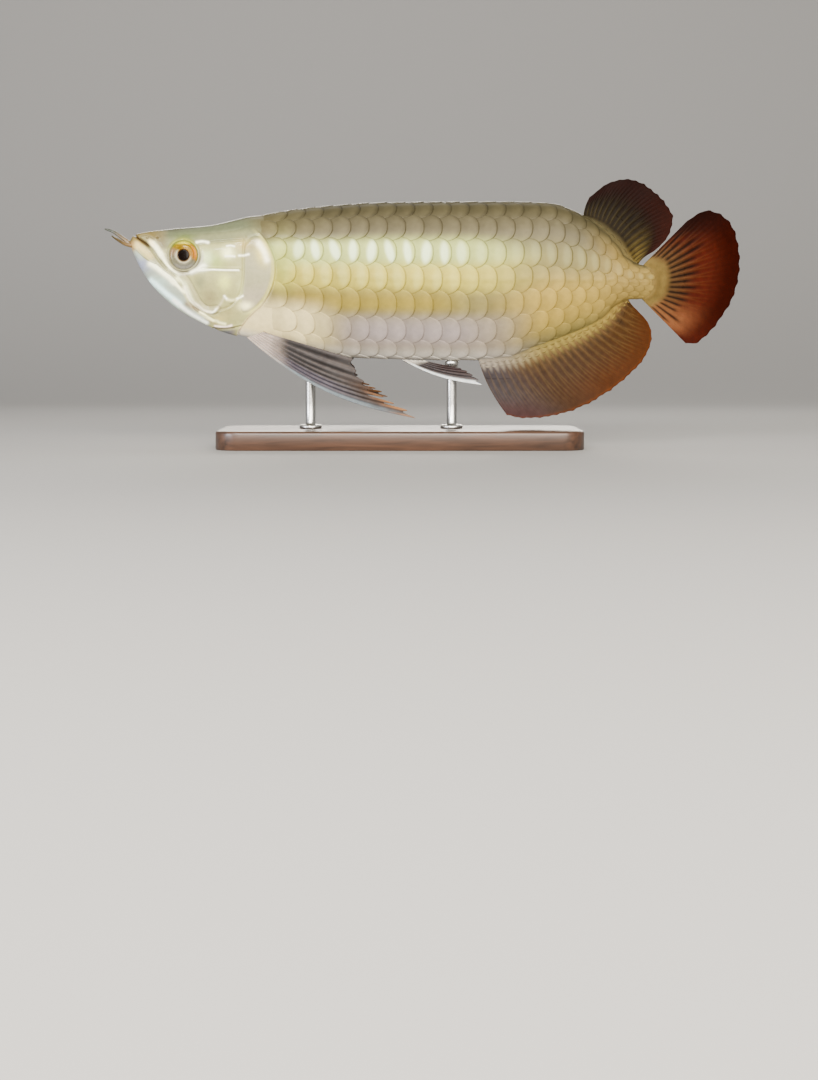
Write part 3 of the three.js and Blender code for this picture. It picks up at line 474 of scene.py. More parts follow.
# %% Distances
def rounded(points, closed=False, steps=6):
    """A smooth line that passes through every point."""
    p = np.array(points, float)
    if closed:
        p = np.vstack([p[-1], p, p[:2]])
    else:
        p = np.vstack([2 * p[0] - p[1], p, 2 * p[-1] - p[-2]])
    t = np.arange(steps)[:, None] / steps
    parts = []
    for a, b, c, d in zip(p[:-3], p[1:-2], p[2:-1], p[3:]):
        parts.append(0.5 * (2 * b + (c - a) * t + (2 * a - 5 * b + 4 * c - d) * t**2
                            + (3 * b - a - 3 * c + d) * t**3))
    line = np.vstack(parts)
    return np.vstack([line, line[:1]]) if closed else np.vstack([line, p[-2:-1]])


def from_line(x, z, points, closed=False):
    """Distance to a line, which side of it (above is positive), and how far along it."""
    line = rounded(points, closed)
    best, side, place = np.full(x.shape, 1e9), np.ones(x.shape), np.zeros(x.shape)
    for k, ((x0, z0), (x1, z1)) in enumerate(zip(line[:-1], line[1:])):
        dx, dz = x1 - x0, z1 - z0
        t = np.clip(((x - x0) * dx + (z - z0) * dz) / (dx * dx + dz * dz), 0, 1)
        off_x, off_z = x - x0 - t * dx, z - z0 - t * dz
        apart = off_x**2 + off_z**2
        near = apart < best
        best = np.where(near, apart, best)
        side = np.where(near, np.sign(dx * off_z - dz * off_x), side)
        place = np.where(near, (k + t) / (len(line) - 1), place)
    return np.sqrt(best), side, place


def inside(x, z, points):
    """Whether a point lies inside an outline: a ray from it crosses the outline an odd number of times."""
    line = rounded(points, closed=True)
    odd = np.zeros(x.shape, bool)
    for (x0, z0), (x1, z1) in zip(line[:-1], line[1:]):
        if z0 == z1:
            continue
        crosses = ((z0 > z) != (z1 > z)) & (x < (x1 - x0) * (z - z0) / (z1 - z0) + x0)
        odd ^= crosses
    return odd


def from_outline(x, z, points):
    """Distance to an outline, positive inside it."""
    apart, _, _ = from_line(x, z, points, closed=True)
    return np.where(inside(x, z, points), apart, -apart)


def dent(distance, width):
    """1 on a line, and falling off softly over the width."""
    return np.exp(-((distance / width) ** 2))


mouth_steps = np.diff(rounded(MOUTH), axis=0)
print("length of the mouth's line:", round(float(np.hypot(*mouth_steps.T).sum())), "mm")

# %% [markdown]
# ### The relief of the head
#
# The depths below are real ones: a mouth cleft over two millimetres deep in front and one behind, an
# upper jaw that stands out by most of a millimetre, seams as fine as a pencil line. The eye sits in a
# socket with a soft rim, a groove and a bag of skin beneath it, and on each side two small nostrils
# open in front of it, each with a low rim.

# %% Eyes and nostrils
EYE_X, EYE_Z, EYE_RADIUS = -172.6, 153.1, 11.2
UNDER_SCALES = 1.1
NOSTRILS = [(-201, 166.6, 0.9), (-193.4, 166.8, 0.8)]


def head_relief(x, z):
    """How far the finished head stands out of the plain form, and where its parts are."""
    masks = {}
    mouth, above, along = from_line(x, z, MOUTH)
    signed = mouth * above
    closing = 1 - smooth(along, 0.88, 1.0)
    front = smooth(-x, 195, 203)
    h = -mix(1.0, 2.2, front) * dent(mouth, mix(1.1, 0.8, front)) * closing
    # Where painted shade darkens the front of the cleft.
    masks["cleft"] = dent(mouth, 1.25) * front
    # The lip of the lower jaw is a long cushion between the cleft and a groove.
    lip_edge, lip_side, lip_along = from_line(x, z, LIP_LINE)
    past_lip = lip_edge * lip_side
    lip = smooth(-signed, 0.2, 1.0) * smooth(past_lip, -0.2, 0.8) * (1 - smooth(along, 0.86, 0.97))
    h += 1.0 * lip
    # Where the lip is painted darker, as the shade under the upper jaw.
    masks["lip"] = lip
    groove = dent(lip_edge, 0.7) * smooth(lip_along, 0.12, 0.25) * (1 - smooth(lip_along, 0.86, 0.98))
    h -= 0.7 * groove
    masks["jaw"] = smooth(-past_lip, -0.4, 1.2) * (1 - smooth(x, -160, -150)) * (z < 166)
    upper = from_outline(x, z, UPPER_JAW)
    h += 0.9 * smooth(upper, -0.4, 1.4) - 0.5 * dent(upper + 0.9, 0.6)
    masks["upper_jaw"] = smooth(upper, -0.3, 0.7)
    masks["jaw_seam"] = dent(upper + 0.9, 0.8)
    gill = from_outline(x, z, GILL_PLATE)
    h += 0.7 * smooth(gill, -0.6, 1.8) - 0.35 * dent(gill + 1, 0.8)
    masks["gill"] = smooth(gill, -0.8, 1.8)
    for seam, depth, width in (
        (CHEEK_SEAM, 0.6, 0.6), (BROW_SEAM, 0.4, 0.7), (PREOPERCLE, 0.7, 0.9),
        (THROAT_SEAM, 0.7, 0.8), (SKULL_SEAM, 0.2, 0.9),
    ):
        apart, way, _ = from_line(x, z, seam)
        h += 0.5 * depth * dent(apart * way - 1.4, 0.8) - depth * dent(apart, width)
    # The ridges' mask, where they are painted near-white as a painted highlight.
    masks["ridge"] = np.zeros(x.shape)
    for line, half, height in RIDGES_WITH_PAINTED_GLINTS:
        apart = from_line(x, z, line)[0]
        h += height * dent(apart, half)
        masks["ridge"] = np.maximum(masks["ridge"], dent(apart, half * 1.15))
    # The cheek plates swell a little between their seams.
    h += 0.8 * np.exp(-(((x + 143) / 12.5) ** 4) - ((z - 152.4) / 8.5) ** 4)
    h += 1.0 * np.exp(-(((x + 146) / 14.5) ** 4) - ((z - 129) / 9.5) ** 4)
    # Socket, rim and the folds round the eye.
    off = np.hypot(x - EYE_X, z - EYE_Z)
    h += 1.1 * dent(off - EYE_RADIUS - 1.2, 1.0) - 5.5 * smooth(EYE_RADIUS - off, -0.3, 1.0)
    low = smooth(EYE_Z - z + 0.35 * (x - EYE_X), -1, 8)
    h += low * (0.6 * dent(off - EYE_RADIUS - 4.0, 1.0) - 0.7 * dent(off - EYE_RADIUS - 2.3, 0.8))
    masks["rim"] = dent(off - EYE_RADIUS - 1.0, 1.5)
    masks["fold"] = low * dent(off - EYE_RADIUS - 2.2, 0.8)
    masks["bag"] = low * dent(off - EYE_RADIUS - 4.0, 1.2)
    masks["nostril"] = np.zeros(x.shape)
    for nx, nz, radius in NOSTRILS:
        hole = np.hypot((x - nx) / 1.25, z - nz)
        h += 0.5 * dent(hole - radius - 0.6, 0.6) - 1.3 * smooth(radius - hole, -0.3, 0.5)
        masks["nostril"] = np.maximum(masks["nostril"], smooth(radius - hole, -0.6, 0.4))
    # Behind the free edge of the gill cover the skin drops under the scales; over the nape the
    # head turns into the back without an edge.
    edge, behind, _ = from_line(x, z, GILL_EDGE)
    beyond = edge * behind
    free = 1 - smooth(z, 164, 176)
    drop = free * smooth(beyond, -0.4, 0.8) + (1 - free) * smooth(beyond, -1, 12)
    h = h * (1 - smooth(beyond, -0.5, 0.4)) - UNDER_SCALES * drop
    masks["membrane"] = dent(beyond + 1.5, 1.3) * free
    masks["beyond"] = beyond
    masks["hidden"] = free * smooth(-beyond, 1.2, 0) + (1 - free) * smooth(-beyond, 10, -12)
    return h, masks


cleft_depth, _ = head_relief(*np.array([[MOUTH[3][0]], [MOUTH[3][1]]], float))
print("the mouth is cut in by", round(-float(cleft_depth[0]), 1), "mm in front")

# %% [markdown]
# ### Airbrushing the head
#
# The head is bone under thin wet skin: olive-grey on the skull, beige on the snout, cream on the
# cheeks, and a cool grey with some lilac on the lower jaw and the throat. Soft clouds give each plate
# its own tone, and the near-white ones are partly painted highlights. Strokes with soft edges then
# draw the lips and jaws in cream and white, partly as painted highlights on their wet edges. Dark
# brown in the front of the mouth's cleft and darker olive along the mouth and on the lip are painted
# shade. The ridges are painted near-white as a painted highlight, where wet skin over bone catches
# the light.

# %% Head colours
def head_colour(x, z, masks):
    """The airbrushing of the head, from the large tones to the small ones."""
    gill, jaw = masks["gill"], masks["jaw"]
    throat = smooth(-masks["beyond"], 0, 6) * smooth(-z, -95.5, -92) * smooth(x, -152, -140)
    above_eye = smooth(z - EYE_Z, 1, 9)
    clouds = [
        (code, share * np.exp(-(((x - middle_x) / reach_x) ** 2) - ((z - middle_z) / reach_z) ** 2))
        for code, middle_x, middle_z, reach_x, reach_z, share in HEAD_CLOUDS
    ]
    strokes = [
        (code, share * dent(from_line(x, z, line)[0], half)) for code, half, share, line in HEAD_STROKES
    ]
    return spray(fill(x, "#94905d"), [
        ("#6d6e4d", smooth(z - (157 + 0.1 * (x + 180)), 0, 4.5)),
        ("#545840", smooth(z - (164.5 + 0.11 * (x + 180)), 0, 5.5) * smooth(x, -204, -182)),
        ("#413e2c", smooth(z - (169.5 + 0.16 * (x + 180)), 0, 6) * smooth(x, -200, -176)),
        ("#675f43", smooth(-x, 183, 190) * smooth(z, 156, 160)),
        ("#66582f", smooth(-x, 186, 200) * smooth(z, 161, 165)),
        ("#898464", 0.95 * gill),
        ("#948971", 0.7 * gill * (1 - smooth(z, 120, 134))),
        ("#7a7346", 0.8 * gill * dent(x + 118, 4.5) * dent(z - 161, 6)),
        ("#cdb94c", 0.95 * gill * dent(x + 108.6, 5.4) * dent(z - 156, 9)),
        # Clouds: the near-white ones are partly painted highlights.
        *clouds,
        ("#8d9482", jaw),
        ("#95aa9b", 0.8 * jaw * dent(x + 193, 9) * dent(z - 132, 4)),
        ("#828599", 0.9 * jaw * dent(x + 206, 7) * dent(z - 146, 8)),
        # Painted shade: the lip below the cleft in a darker beige-olive.
        ("#92906e", 0.95 * masks["lip"] * smooth(x, -205, -198)),
        ("#906e42", smooth(-x, 204, 210) * (1 - smooth(z, 162, 165)) * smooth(z, 153, 159)),
        ("#766f51", 0.5 * masks["jaw_seam"]),
        ("#918b65", 0.6 * masks["upper_jaw"]),
        ("#50535a", 0.9 * throat),
        ("#7c6d68", 0.8 * throat * smooth(x, -140, -130)),
        ("#7f812f", 0.9 * masks["rim"] * above_eye),
        ("#78735a", 0.8 * masks["rim"] * (1 - above_eye)),
        ("#4b4737", 0.9 * masks["fold"]),
        ("#b0ab92", 0.85 * masks["bag"]),
        # Strokes: painted shade along the mouth, and pale ones that are partly painted highlights.
        *strokes,
        # Painted shade: dark brown in the deep front of the mouth's cleft.
        ("#3f2c14", 0.95 * masks["cleft"] * (1 - smooth(x, -202, -199))),
        # Painted highlight: the raised ridges in near-white, where wet skin over bone catches the light.
        ("#fffddc", masks["ridge"]),
        ("#544931", 0.6 * masks["nostril"]),
        ("#bbb363", 0.75 * masks["membrane"] * smooth(z, 102, 110)),
    ])


print("strokes in white or nearly:", sum(min(linear(stroke[0])) > 0.5 for stroke in HEAD_STROKES))

# %% [markdown]
# ## One skin from chin to tail
#
# Rings of points run round the body, half a millimetre apart on the head, where the relief needs
# them, and wider under the scales. The skin stands for eight solids of the CAD model, which were
# parted by thin cuts, so no seam shows.

# %% The skin
SKIN_COLUMNS, HEAD_STEP, BODY_STEP = 400, 0.45, 3.0
HEAD_END_X, END_SUNK = -90.0, 1.8


def narrowing(x):
    """0 on the body, 1 at the tail, where the scales grow small."""
    return smooth(x, 70, 205)


def under_scales(x):
    """The level of the skin below the scales, which are thinner at the tail."""
    return -UNDER_SCALES * mix(1, 0.4, narrowing(x))


def skin_rings():
    """Where the rings lie: closest at the chin, which is blunt."""
    nose = NOSE_X + 9 * np.linspace(0, 1, 30) ** 1.8
    head = np.arange(nose[-1] + HEAD_STEP, HEAD_END_X - 2, HEAD_STEP)
    body = np.arange(HEAD_END_X, BODY_END_X - 1, BODY_STEP)
    return np.concatenate([nose, head, body, [BODY_END_X]])


def make_skin():
    xs = skin_rings()
    around = np.arange(SKIN_COLUMNS) * 2 / SKIN_COLUMNS
    x, turn = np.meshgrid(xs, around, indexing="ij")
    flat = skin_point(x, turn)
    proud = under_scales(x)
    colour = flank_colour(x, flat[..., 2])
    head = xs < HEAD_END_X
    h, masks = head_relief(*seen(flat[head]))
    proud[head] = h
    on_head = (1 - masks["hidden"])[..., None]
    colour[head] = mix(colour[head], head_colour(*seen(flat[head]), masks), on_head)
    # The chin starts at a point, and the end of the tail stem sinks into the flesh of the tail fin.
    proud = proud * smooth(x, NOSE_X, NOSE_X + 5) - END_SUNK * smooth(x, BODY_END_X - 5, BODY_END_X)
    points = on_skin(x, turn, proud)
    rows, columns = x.shape
    count = rows * columns
    nose_tip = points[0].mean(axis=0) - (0.5, 0, 0)
    tail_tip = points[-1].mean(axis=0) + (1.5, 0, 0)
    first, last = np.arange(columns), count - columns + np.arange(columns)
    cap_nose = np.stack([np.roll(first, -1), first, np.full(columns, count)], -1)
    cap_tail = np.stack([last, np.roll(last, -1), np.full(columns, count + 1)], -1)
    everything = np.vstack([points.reshape(-1, 3), nose_tip, tail_tip])
    paint = np.vstack([colour.reshape(-1, 3), colour[0, 0], colour[-1, 0]])
    share_x = (x - xs[0]) / (xs[-1] - xs[0])
    spread = np.stack([0.01 + 0.98 * share_x, 0.01 + 0.98 * turn / 2], -1).reshape(-1, 2)
    spread = np.vstack([spread, [0.002, 0.5], [0.998, 0.5]])
    return new_piece("skin", everything, [grid_faces(rows, columns, closed=True), cap_nose, cap_tail],
                     colour=paint, map_points=spread)


skin = make_skin()

# %% [markdown]
# ## Scales like tiles
#
# An arowana has about two dozen scales along its side, each as wide as a coin, in rows that run
# level from the gill cover to the tail. Every scale is a thin plate, domed, fixed at its front and
# free at its round rear edge, where it covers the roots of the next ones. So the plate climbs from
# its root to its rear edge: at any place the scale that starts furthest forward lies on top, and no
# two plates cut through each other.

# %% Where the scales sit
SCALE_PITCH, TAIL_PITCH = 14.4, 8.6
LATERAL_LINE = [(-110, 141.5), (-60, 137), (0, 134), (80, 133), (140, 133), (212, 131.5)]
FIRST_SCALE_X, LAST_SCALE_X = -110.0, BODY_END_X - 1.45 * TAIL_PITCH
# Rows from the middle of the back (-1) over the lateral line (0) to the middle of the belly (1).
ROW_SHARES = [-1, -0.80, -0.565, -0.285, 0, 0.285, 0.565, 0.80, 1]
lateral_line = smooth_line(LATERAL_LINE)


def pitch_at(x):
    return mix(SCALE_PITCH, TAIL_PITCH, narrowing(x))


def columns_along():
    """The middle of every half column, from the gill cover to the tail fin."""
    xs, x = [], FIRST_SCALE_X
    while x < LAST_SCALE_X:
        xs.append(x)
        x += pitch_at(x) / 2
    return xs


def girth_at(x):
    return float(np.interp(x, RING_X, HALF_GIRTH))


def level_to_round(x, z):
    """The share of the girth at which the left flank has the height z."""
    v = np.linspace(0, 1, 400)
    heights = skin_point(np.full(400, x), v)[:, 2]
    return float(np.interp(-z, -heights, v))


def scale_places():
    """Every scale as its middle (x, round), its length, its height and its row (0 is the lateral line)."""
    places = []
    for number, x in enumerate(columns_along()):
        middle = level_to_round(x, float(lateral_line(x)))
        rows = np.interp(ROW_SHARES, [-1, 0, 1], [0, middle, 1])
        heights = np.gradient(rows) * girth_at(x)
        for row, v, height in zip(range(-4, 5), rows, heights):
            if (row + number) % 2 == 0:
                sides = (1,) if abs(row) == 4 else (1, -1)
                places += [(x, side * v, pitch_at(x), height, row) for side in sides]
    return places


PLACES = scale_places()
print("scales:", len(PLACES), "half columns:", len(columns_along()))

# %% [markdown]
# ### One plate
#
# The grid of a plate runs from a straight front edge, hidden under its neighbours, to a round rear
# edge. The underside is the same grid, a third of a millimetre lower, so that each scale is a solid
# chip.

# %% The grid of a scale
PLATE_STEPS, PLATE_RAYS = 15, 20
PLATE_ROUNDNESS, PLATE_THICKNESS = 2.4, 0.3
# How far a plate reaches before its middle, and how much of its height its straight front spans.
PLATE_FRONT, FRONT_SPAN = 0.55, 0.94


def sheet_rim(rows, columns):
    """The points round the edge of a grid, in order."""
    down = np.arange(rows - 1) * columns
    return np.concatenate([np.arange(columns - 1), down + columns - 1,
                           rows * columns - 1 - np.arange(columns - 1), (down + columns)[::-1]])


def chip_faces(rows, columns):
    """A solid chip: the upper grid, the lower grid after it, and the wall between their rims."""
    sheet, rim, size = grid_faces(rows, columns), sheet_rim(rows, columns), rows * columns
    after = np.roll(rim, -1)
    return [sheet, sheet[:, ::-1] + size, np.stack([after, rim, rim + size, after + size], -1)]


def plate_outline():
    """Offsets of a plate's points from its middle, and shares from front to rear and across."""
    swing = np.linspace(-np.pi / 2, np.pi / 2, PLATE_RAYS + 1)[None, :]
    go = np.linspace(0, 1, PLATE_STEPS + 1)[:, None] ** 0.85
    power = 2 / PLATE_ROUNDNESS
    rear = np.cos(swing).clip(0) ** power
    across = np.sign(swing) * np.abs(np.sin(swing)) ** power * np.ones_like(go)
    along = mix(-PLATE_FRONT, rear, go)
    depth_share = (along + PLATE_FRONT) / (1 + PLATE_FRONT)
    return along, across * mix(FRONT_SPAN, 1.0, go), depth_share, across, go * np.ones_like(swing)


ALONG, SIDEWAYS, DEPTH_SHARE, ACROSS, GO = plate_outline()
print("points on one face of a scale:", ALONG.size)

# %% [markdown]
# ### How a plate lies
#
# Each plate is domed, and climbs from its root to its free edge. Scales of the lateral line carry a
# low tube, the canal that feels pressure in the water. Scales beside the head dive under the gill
# cover. An upright blue-white oval is painted on the part that shows, strong in one row only: partly
# the scale's own pearly shimmer and partly a painted highlight.

# %% A scale on the body
# A plate reaches almost a pitch behind its middle, and over its neighbours above and below.
REACH_BACK, REACH_UP = 0.98, 0.6
DOME, EDGE_ROUNDING, THIN_AT_TAIL = 0.4, 0.16, 0.55
CANAL_HEIGHT, CANAL_WIDTH = 0.35, 0.09
BESIDE_GILLS_X, DIVE = -80.0, 2.2
# Rows from back to belly: how far the free edge and the dome rise, and how dark the edge is.
ROW_RISE = [0.15, 0.6, 0.85, 1.0, 0.75, 0.6, 0.5, 0.4, 0.15]
ROW_EDGE = [0.6, 0.8, 0.5, 0.15, 0.1, 0.1, 0.05, 0.05, 0.05]
# The shares of its cell on the map that a plate's upper and lower face take.
UPPER_SHARE, UNDER_SHARE = 0.84, 0.12
print("rows of scales, from back to belly:", len(ROW_RISE))


def plate_points(x, v, pitch, height, row):
    """The upper and lower face of one scale, and its points' places on the body."""
    at_x = np.minimum(x + ALONG * REACH_BACK * pitch, BODY_END_X)
    girth = np.interp(np.clip(at_x, NOSE_X, BODY_END_X), RING_X, HALF_GIRTH)
    at_round = v + SIDEWAYS * REACH_UP * height / girth
    size = mix(1, THIN_AT_TAIL, narrowing(x))
    rise = ROW_RISE[row + 4]
    root_level = under_scales(at_x) - 0.15 if x < BESIDE_GILLS_X else -(0.75 + 0.55 * rise) * size
    tip_level = (0.45 * rise - 0.2 + rng.normal(0, 0.03)) * size
    proud = mix(root_level, tip_level, DEPTH_SHARE)
    proud = proud + DOME * size * rise * (1 - ACROSS**2) * np.sin(np.pi * DEPTH_SHARE) ** 1.2
    proud = proud - EDGE_ROUNDING * size * smooth(GO, 0.9, 1.0)
    if row == 0:
        canal = smooth(DEPTH_SHARE, 0.35, 0.5) * (1 - smooth(DEPTH_SHARE, 0.82, 0.92))
        proud = proud + CANAL_HEIGHT * dent(ACROSS, CANAL_WIDTH) * canal
    if x < BESIDE_GILLS_X:
        # What would lie on the gill cover dives under it.
        edge, behind, _ = from_line(*seen(skin_point(at_x, at_round)), GILL_EDGE)
        proud = proud - DIVE * smooth(-edge * behind, -0.8, 1.2)
    top = on_skin(at_x, at_round, proud)
    return top, on_skin(at_x, at_round, proud - PLATE_THICKNESS * size), at_x


def painted_pearl_sheen(x, row):
    """A painted blue-white sheen, partly the scale's pearly shimmer and partly a painted highlight: an
    upright oval on the part of a scale that shows.
    """
    strength = {-1: 1.0, 0: 0.08}.get(row, 0.0)
    strength *= smooth(x, -106, -74) * (1 - 0.95 * smooth(x, 12, 64))
    centre, lean, wide = 0.73 + rng.normal(0, 0.02), rng.normal(0.02, 0.06), rng.uniform(0.85, 1.15)
    off = np.hypot((DEPTH_SHARE - centre - lean * ACROSS) / (0.19 * wide), ACROSS / 0.85)
    return strength * (1 - smooth(off, 0.5, 1.1))


# %% [markdown]
# ### The whole coat
#
# All scales of one stretch of flank are joined into one mesh, so that a coat is five pieces and not
# hundreds. Each plate keeps its own tone, painted darker towards its hidden root as the shade of the
# plate that overlaps it, and its own cell on the map of textures.

# %% The coat of scales
def chips_piece(name, points, faces, numbers, paint, maps):
    """One mesh of many chips, from lists with an array for each."""
    blocks = [np.vstack([chip[i] for chip in faces]) for i in range(3)]
    numbers = {key: np.concatenate(values) for key, values in numbers.items()}
    return new_piece(name, np.vstack(points), blocks, numbers, np.vstack(paint),
                     np.vstack(maps).clip(0.001, 0.999))


def make_scales(name, places, x_range, round_range):
    """One mesh of many scales, whose map spans the given stretches of the body."""
    rows, columns = ALONG.shape
    chip, size = chip_faces(rows, columns), rows * columns
    points, faces, paint, maps = [], [], [], []
    numbers = {key: [] for key in ("along", "across", "pearl_sheen", "edge")}
    for k, (x, v, pitch, height, row) in enumerate(places):
        top, under, at_x = plate_points(x, v, pitch, height, row)
        points += [top.reshape(-1, 3), under.reshape(-1, 3)]
        faces.append([block + 2 * size * k for block in chip])
        # Painted shade: darker towards the root, where the plate in front overlaps it, times a random tone
        # for each plate.
        shade = mix(0.84, 1.05, smooth(DEPTH_SHARE, 0.35, 0.75)) * (1 + 0.04 * rng.normal())
        colour = flank_colour(at_x, top[..., 2]) * shade[..., None]
        paint += [colour.reshape(-1, 3)] * 2
        edge = ROW_EDGE[row + 4] * mix(1, 0.45, smooth(x, 20, 140))
        for key, value in (("along", DEPTH_SHARE), ("across", ACROSS),
                           ("pearl_sheen", painted_pearl_sheen(x, row)), ("edge", np.full(GO.shape, edge))):
            numbers[key] += [value.ravel()] * 2
        # Each plate has its own cell on the map, at its own place on the unrolled body. The upper
        # face fills most of the cell, and the lower face a strip beside it.
        start_u, start_v = x - x_range[0], v % 2 - round_range[0]
        wide, tall = 0.92 * pitch, 0.92 * height / girth_at(x)
        across_cell = start_v + tall * np.arcsin(ACROSS * 0.999) / np.pi
        for first, share in ((-0.5, UPPER_SHARE), (0.38, UNDER_SHARE)):
            spot = np.stack([(start_u + wide * (first + share * GO)) / (x_range[1] - x_range[0]),
                             across_cell / (round_range[1] - round_range[0])], -1)
            maps.append(spot.reshape(-1, 2))
    return chips_piece(name, points, faces, numbers, paint, maps)


GILL_CLEARANCE, PECTORAL_TOP_Z, PECTORAL_FRONT_X = 1.5, 104, -96


def kept(place):
    """Leaves off the scales that would lie on the head, and those in front of the pectoral fin."""
    x, v, pitch = place[:3]
    seen_x, seen_z = seen(skin_point(np.array([x + 0.55 * pitch]), np.array([v])))
    edge, behind, _ = from_line(seen_x, seen_z, GILL_EDGE)
    clear = (edge * behind)[0] > GILL_CLEARANCE
    return clear and (seen_z[0] > PECTORAL_TOP_Z or x > PECTORAL_FRONT_X)


places = [place for place in PLACES if kept(place)]
left = [p for p in places if 0 < p[1] < 1]
right = [p for p in places if p[1] < 0]
midlines = [p for p in places if p[1] in (0.0, 1.0)]
FRONT, REAR, ALL = (-130, 60), (30, 222), (-130, 222)
SPLIT_X = 40
scales = []
for word, side_places, round_range in (("left", left, (0, 1)), ("right", right, (1, 2))):
    front_places = [p for p in side_places if p[0] < SPLIT_X]
    rear_places = [p for p in side_places if p[0] >= SPLIT_X]
    scales.append(make_scales(f"scales_{word}_front", front_places, FRONT, round_range))
    scales.append(make_scales(f"scales_{word}_rear", rear_places, REAR, round_range))
scales.append(make_scales("scales_midlines", midlines, ALL, (-0.5, 1.5)))
print("scales on the fish:", len(places))

# %% [markdown]
# ## Fins
#
# A fin is a fan of bony rays with thin skin between them. Towards the edge each ray splits in two
# and then in four. Every fin is laid out along its rays: `t` goes from the first ray to the last, and
# `s` from root to tip.

# %% The branching of rays
def ray_ridges(t, s, rays, fork):
    """How near a point is to a ray or to one of its branches, from 0 to 1."""
    phase = t * (rays - 1)
    off = phase - np.round(phase)
    first = 0.25 * fork * smooth(s, 0.30, 0.72)
    second = 0.125 * fork * smooth(s, 0.60, 0.98)
    width = mix(0.17, 0.06, smooth(s, 0.1, 0.95) * fork)
    ridge = np.zeros(np.broadcast(t, s).shape)
    for a in (-1, 1):
        for b in (-1, 1):
            centre = a * first + b * second
            ridge = np.maximum(ridge, dent(off - centre, width))
            ridge = np.maximum(ridge, dent(off - np.sign(off) - centre, width))
    return ridge


def streaks(t, s, rays, seed, start, end):
    """Dark dashes in the skin between the rays, each of its own length."""
    draw = np.random.default_rng(seed)
    phase = t * (rays - 1)
    gap = np.clip(phase.astype(int), 0, rays - 2)
    length = end * draw.uniform(0.75, 1.2, rays)[gap]
    begin = start * draw.uniform(0.85, 1.15, rays)[gap]
    between = (0.5 - 0.5 * np.cos(2 * np.pi * phase)) ** 2
    return between * smooth(s, begin, begin + 0.05) * (1 - smooth(s, 0.7 * length, length))


edge_points = np.linspace(0, 1, 500)
edge_share = ray_ridges(edge_points, np.ones(500), 9, 1.0).mean()
print("share of a fin's edge that is ray:", round(float(edge_share), 2))

# %% [markdown]
# ### A fin as a sheet
#
# The sheet's thickness swells over every branch of a ray, and its edge is notched between the rays.
# Each of its two faces has its own half of the map.

# %% Fin sheets
def sheet_normal(surface, t, s):
    """The way that a fin's sheet faces."""
    d = 0.004
    over = surface(np.clip(t + d, 0, 1), s) - surface(np.clip(t - d, 0, 1), s)
    return unit(np.cross(over, surface(t, s + d) - surface(t, s - d)))


def make_fin(name, rays, surface, paint, thick, notches, fork=1.0, ripple=0.0, per_ray=12, steps=56):
    """A closed sheet on `surface(t, s)`, as thick as said on a ray at its root and at its tip."""
    count = (rays - 1) * per_ray + 1
    t, along = np.meshgrid(np.linspace(0, 1, count), np.linspace(0, 1, steps + 1), indexing="ij")
    phase = t * (rays - 1)
    gap = np.clip(phase.astype(int), 0, rays - 2)
    between = (0.5 - 0.5 * np.cos(2 * np.pi * phase)) ** 0.7
    frayed = 1 - ray_ridges(t, np.ones_like(t), rays, fork)
    longer = np.interp(phase, np.arange(rays), rng.uniform(-1, 1, rays))
    notch = np.broadcast_to(notches, rays - 1)[gap]
    s = along * (1 - notch * (0.8 * between + 0.2 * frayed) + 0.008 * longer)
    normal = sheet_normal(surface, t, s)
    ridge = ray_ridges(t, s, rays, fork)
    web = mix(0.6, 0.3, smooth(s, 0, 1))
    half = mix(web, mix(thick[0], thick[1], smooth(s, 0, 1)), ridge) / 2
    sway = ripple * (np.sin(2.2 * np.pi * t + 1.3) * s**1.5 + 0.18 * np.sin(9 * np.pi * t) * s**2)
    middle = surface(t, s) + normal * sway[..., None]
    sides = [bent(middle + sign * normal * half[..., None]).reshape(-1, 3) for sign in (1, -1)]
    spread = np.stack([0.01 + 0.48 * t, 0.01 + 0.98 * along], -1).reshape(-1, 2)
    return sheet_piece(name, sides, t, s, ridge, paint, spread)


def sheet_piece(name, sides, t, s, ridge, paint, spread):
    """A closed mesh from the two faces of a sheet."""
    numbers = {"ridge": np.tile(ridge.ravel(), 2), "outward": np.tile(s.ravel(), 2)}
    colour = np.vstack([paint(t, s, ridge).reshape(-1, 3)] * 2)
    halves = np.vstack([spread, spread + [0.5, 0]])
    return new_piece(name, np.vstack(sides), chip_faces(*t.shape), numbers, colour, halves)


# %% [markdown]
# ### Flesh and small scales at the root
#
# Soft flesh slopes from the body out onto a fin, thick at the body and thin further out. Rows of
# small pointed scales can lie on that slope. They are made like the large ones, on every second point
# of the same grid.

# %% Flesh and sheath
FLESH_STEPS = (161, 25)
print("points on one face of the flesh:", FLESH_STEPS[0] * FLESH_STEPS[1])


def flesh_lift(t, s, flesh):
    """Half the thickness of the flesh on a fin's root: full at the body, thin further out."""
    deep, reach, square = flesh
    ends = (1 - np.abs(2 * np.clip(t, 0, 1) - 1) ** square) ** (1 / square)
    return 0.06 + ends * mix(deep[0], deep[1], t) * np.exp(-np.maximum(s, 0) / reach)


def make_flesh(name, surface, paint, flesh, s_range):
    """The soft slope that leads from the body out onto the fin, on both sides."""
    beside, outward = FLESH_STEPS
    t, s = np.meshgrid(np.linspace(0, 1, beside), np.linspace(*s_range, outward), indexing="ij")
    lift = flesh_lift(t, s, flesh)[..., None]
    normal = sheet_normal(surface, t, s)
    sides = [bent(surface(t, s) + sign * normal * lift).reshape(-1, 3) for sign in (1, -1)]
    share = (s - s_range[0]) / (s_range[1] - s_range[0])
    spread = np.stack([0.01 + 0.48 * t, 0.01 + 0.98 * share], -1).reshape(-1, 2)
    return sheet_piece(name, sides, t, s, np.zeros_like(t), paint, spread)


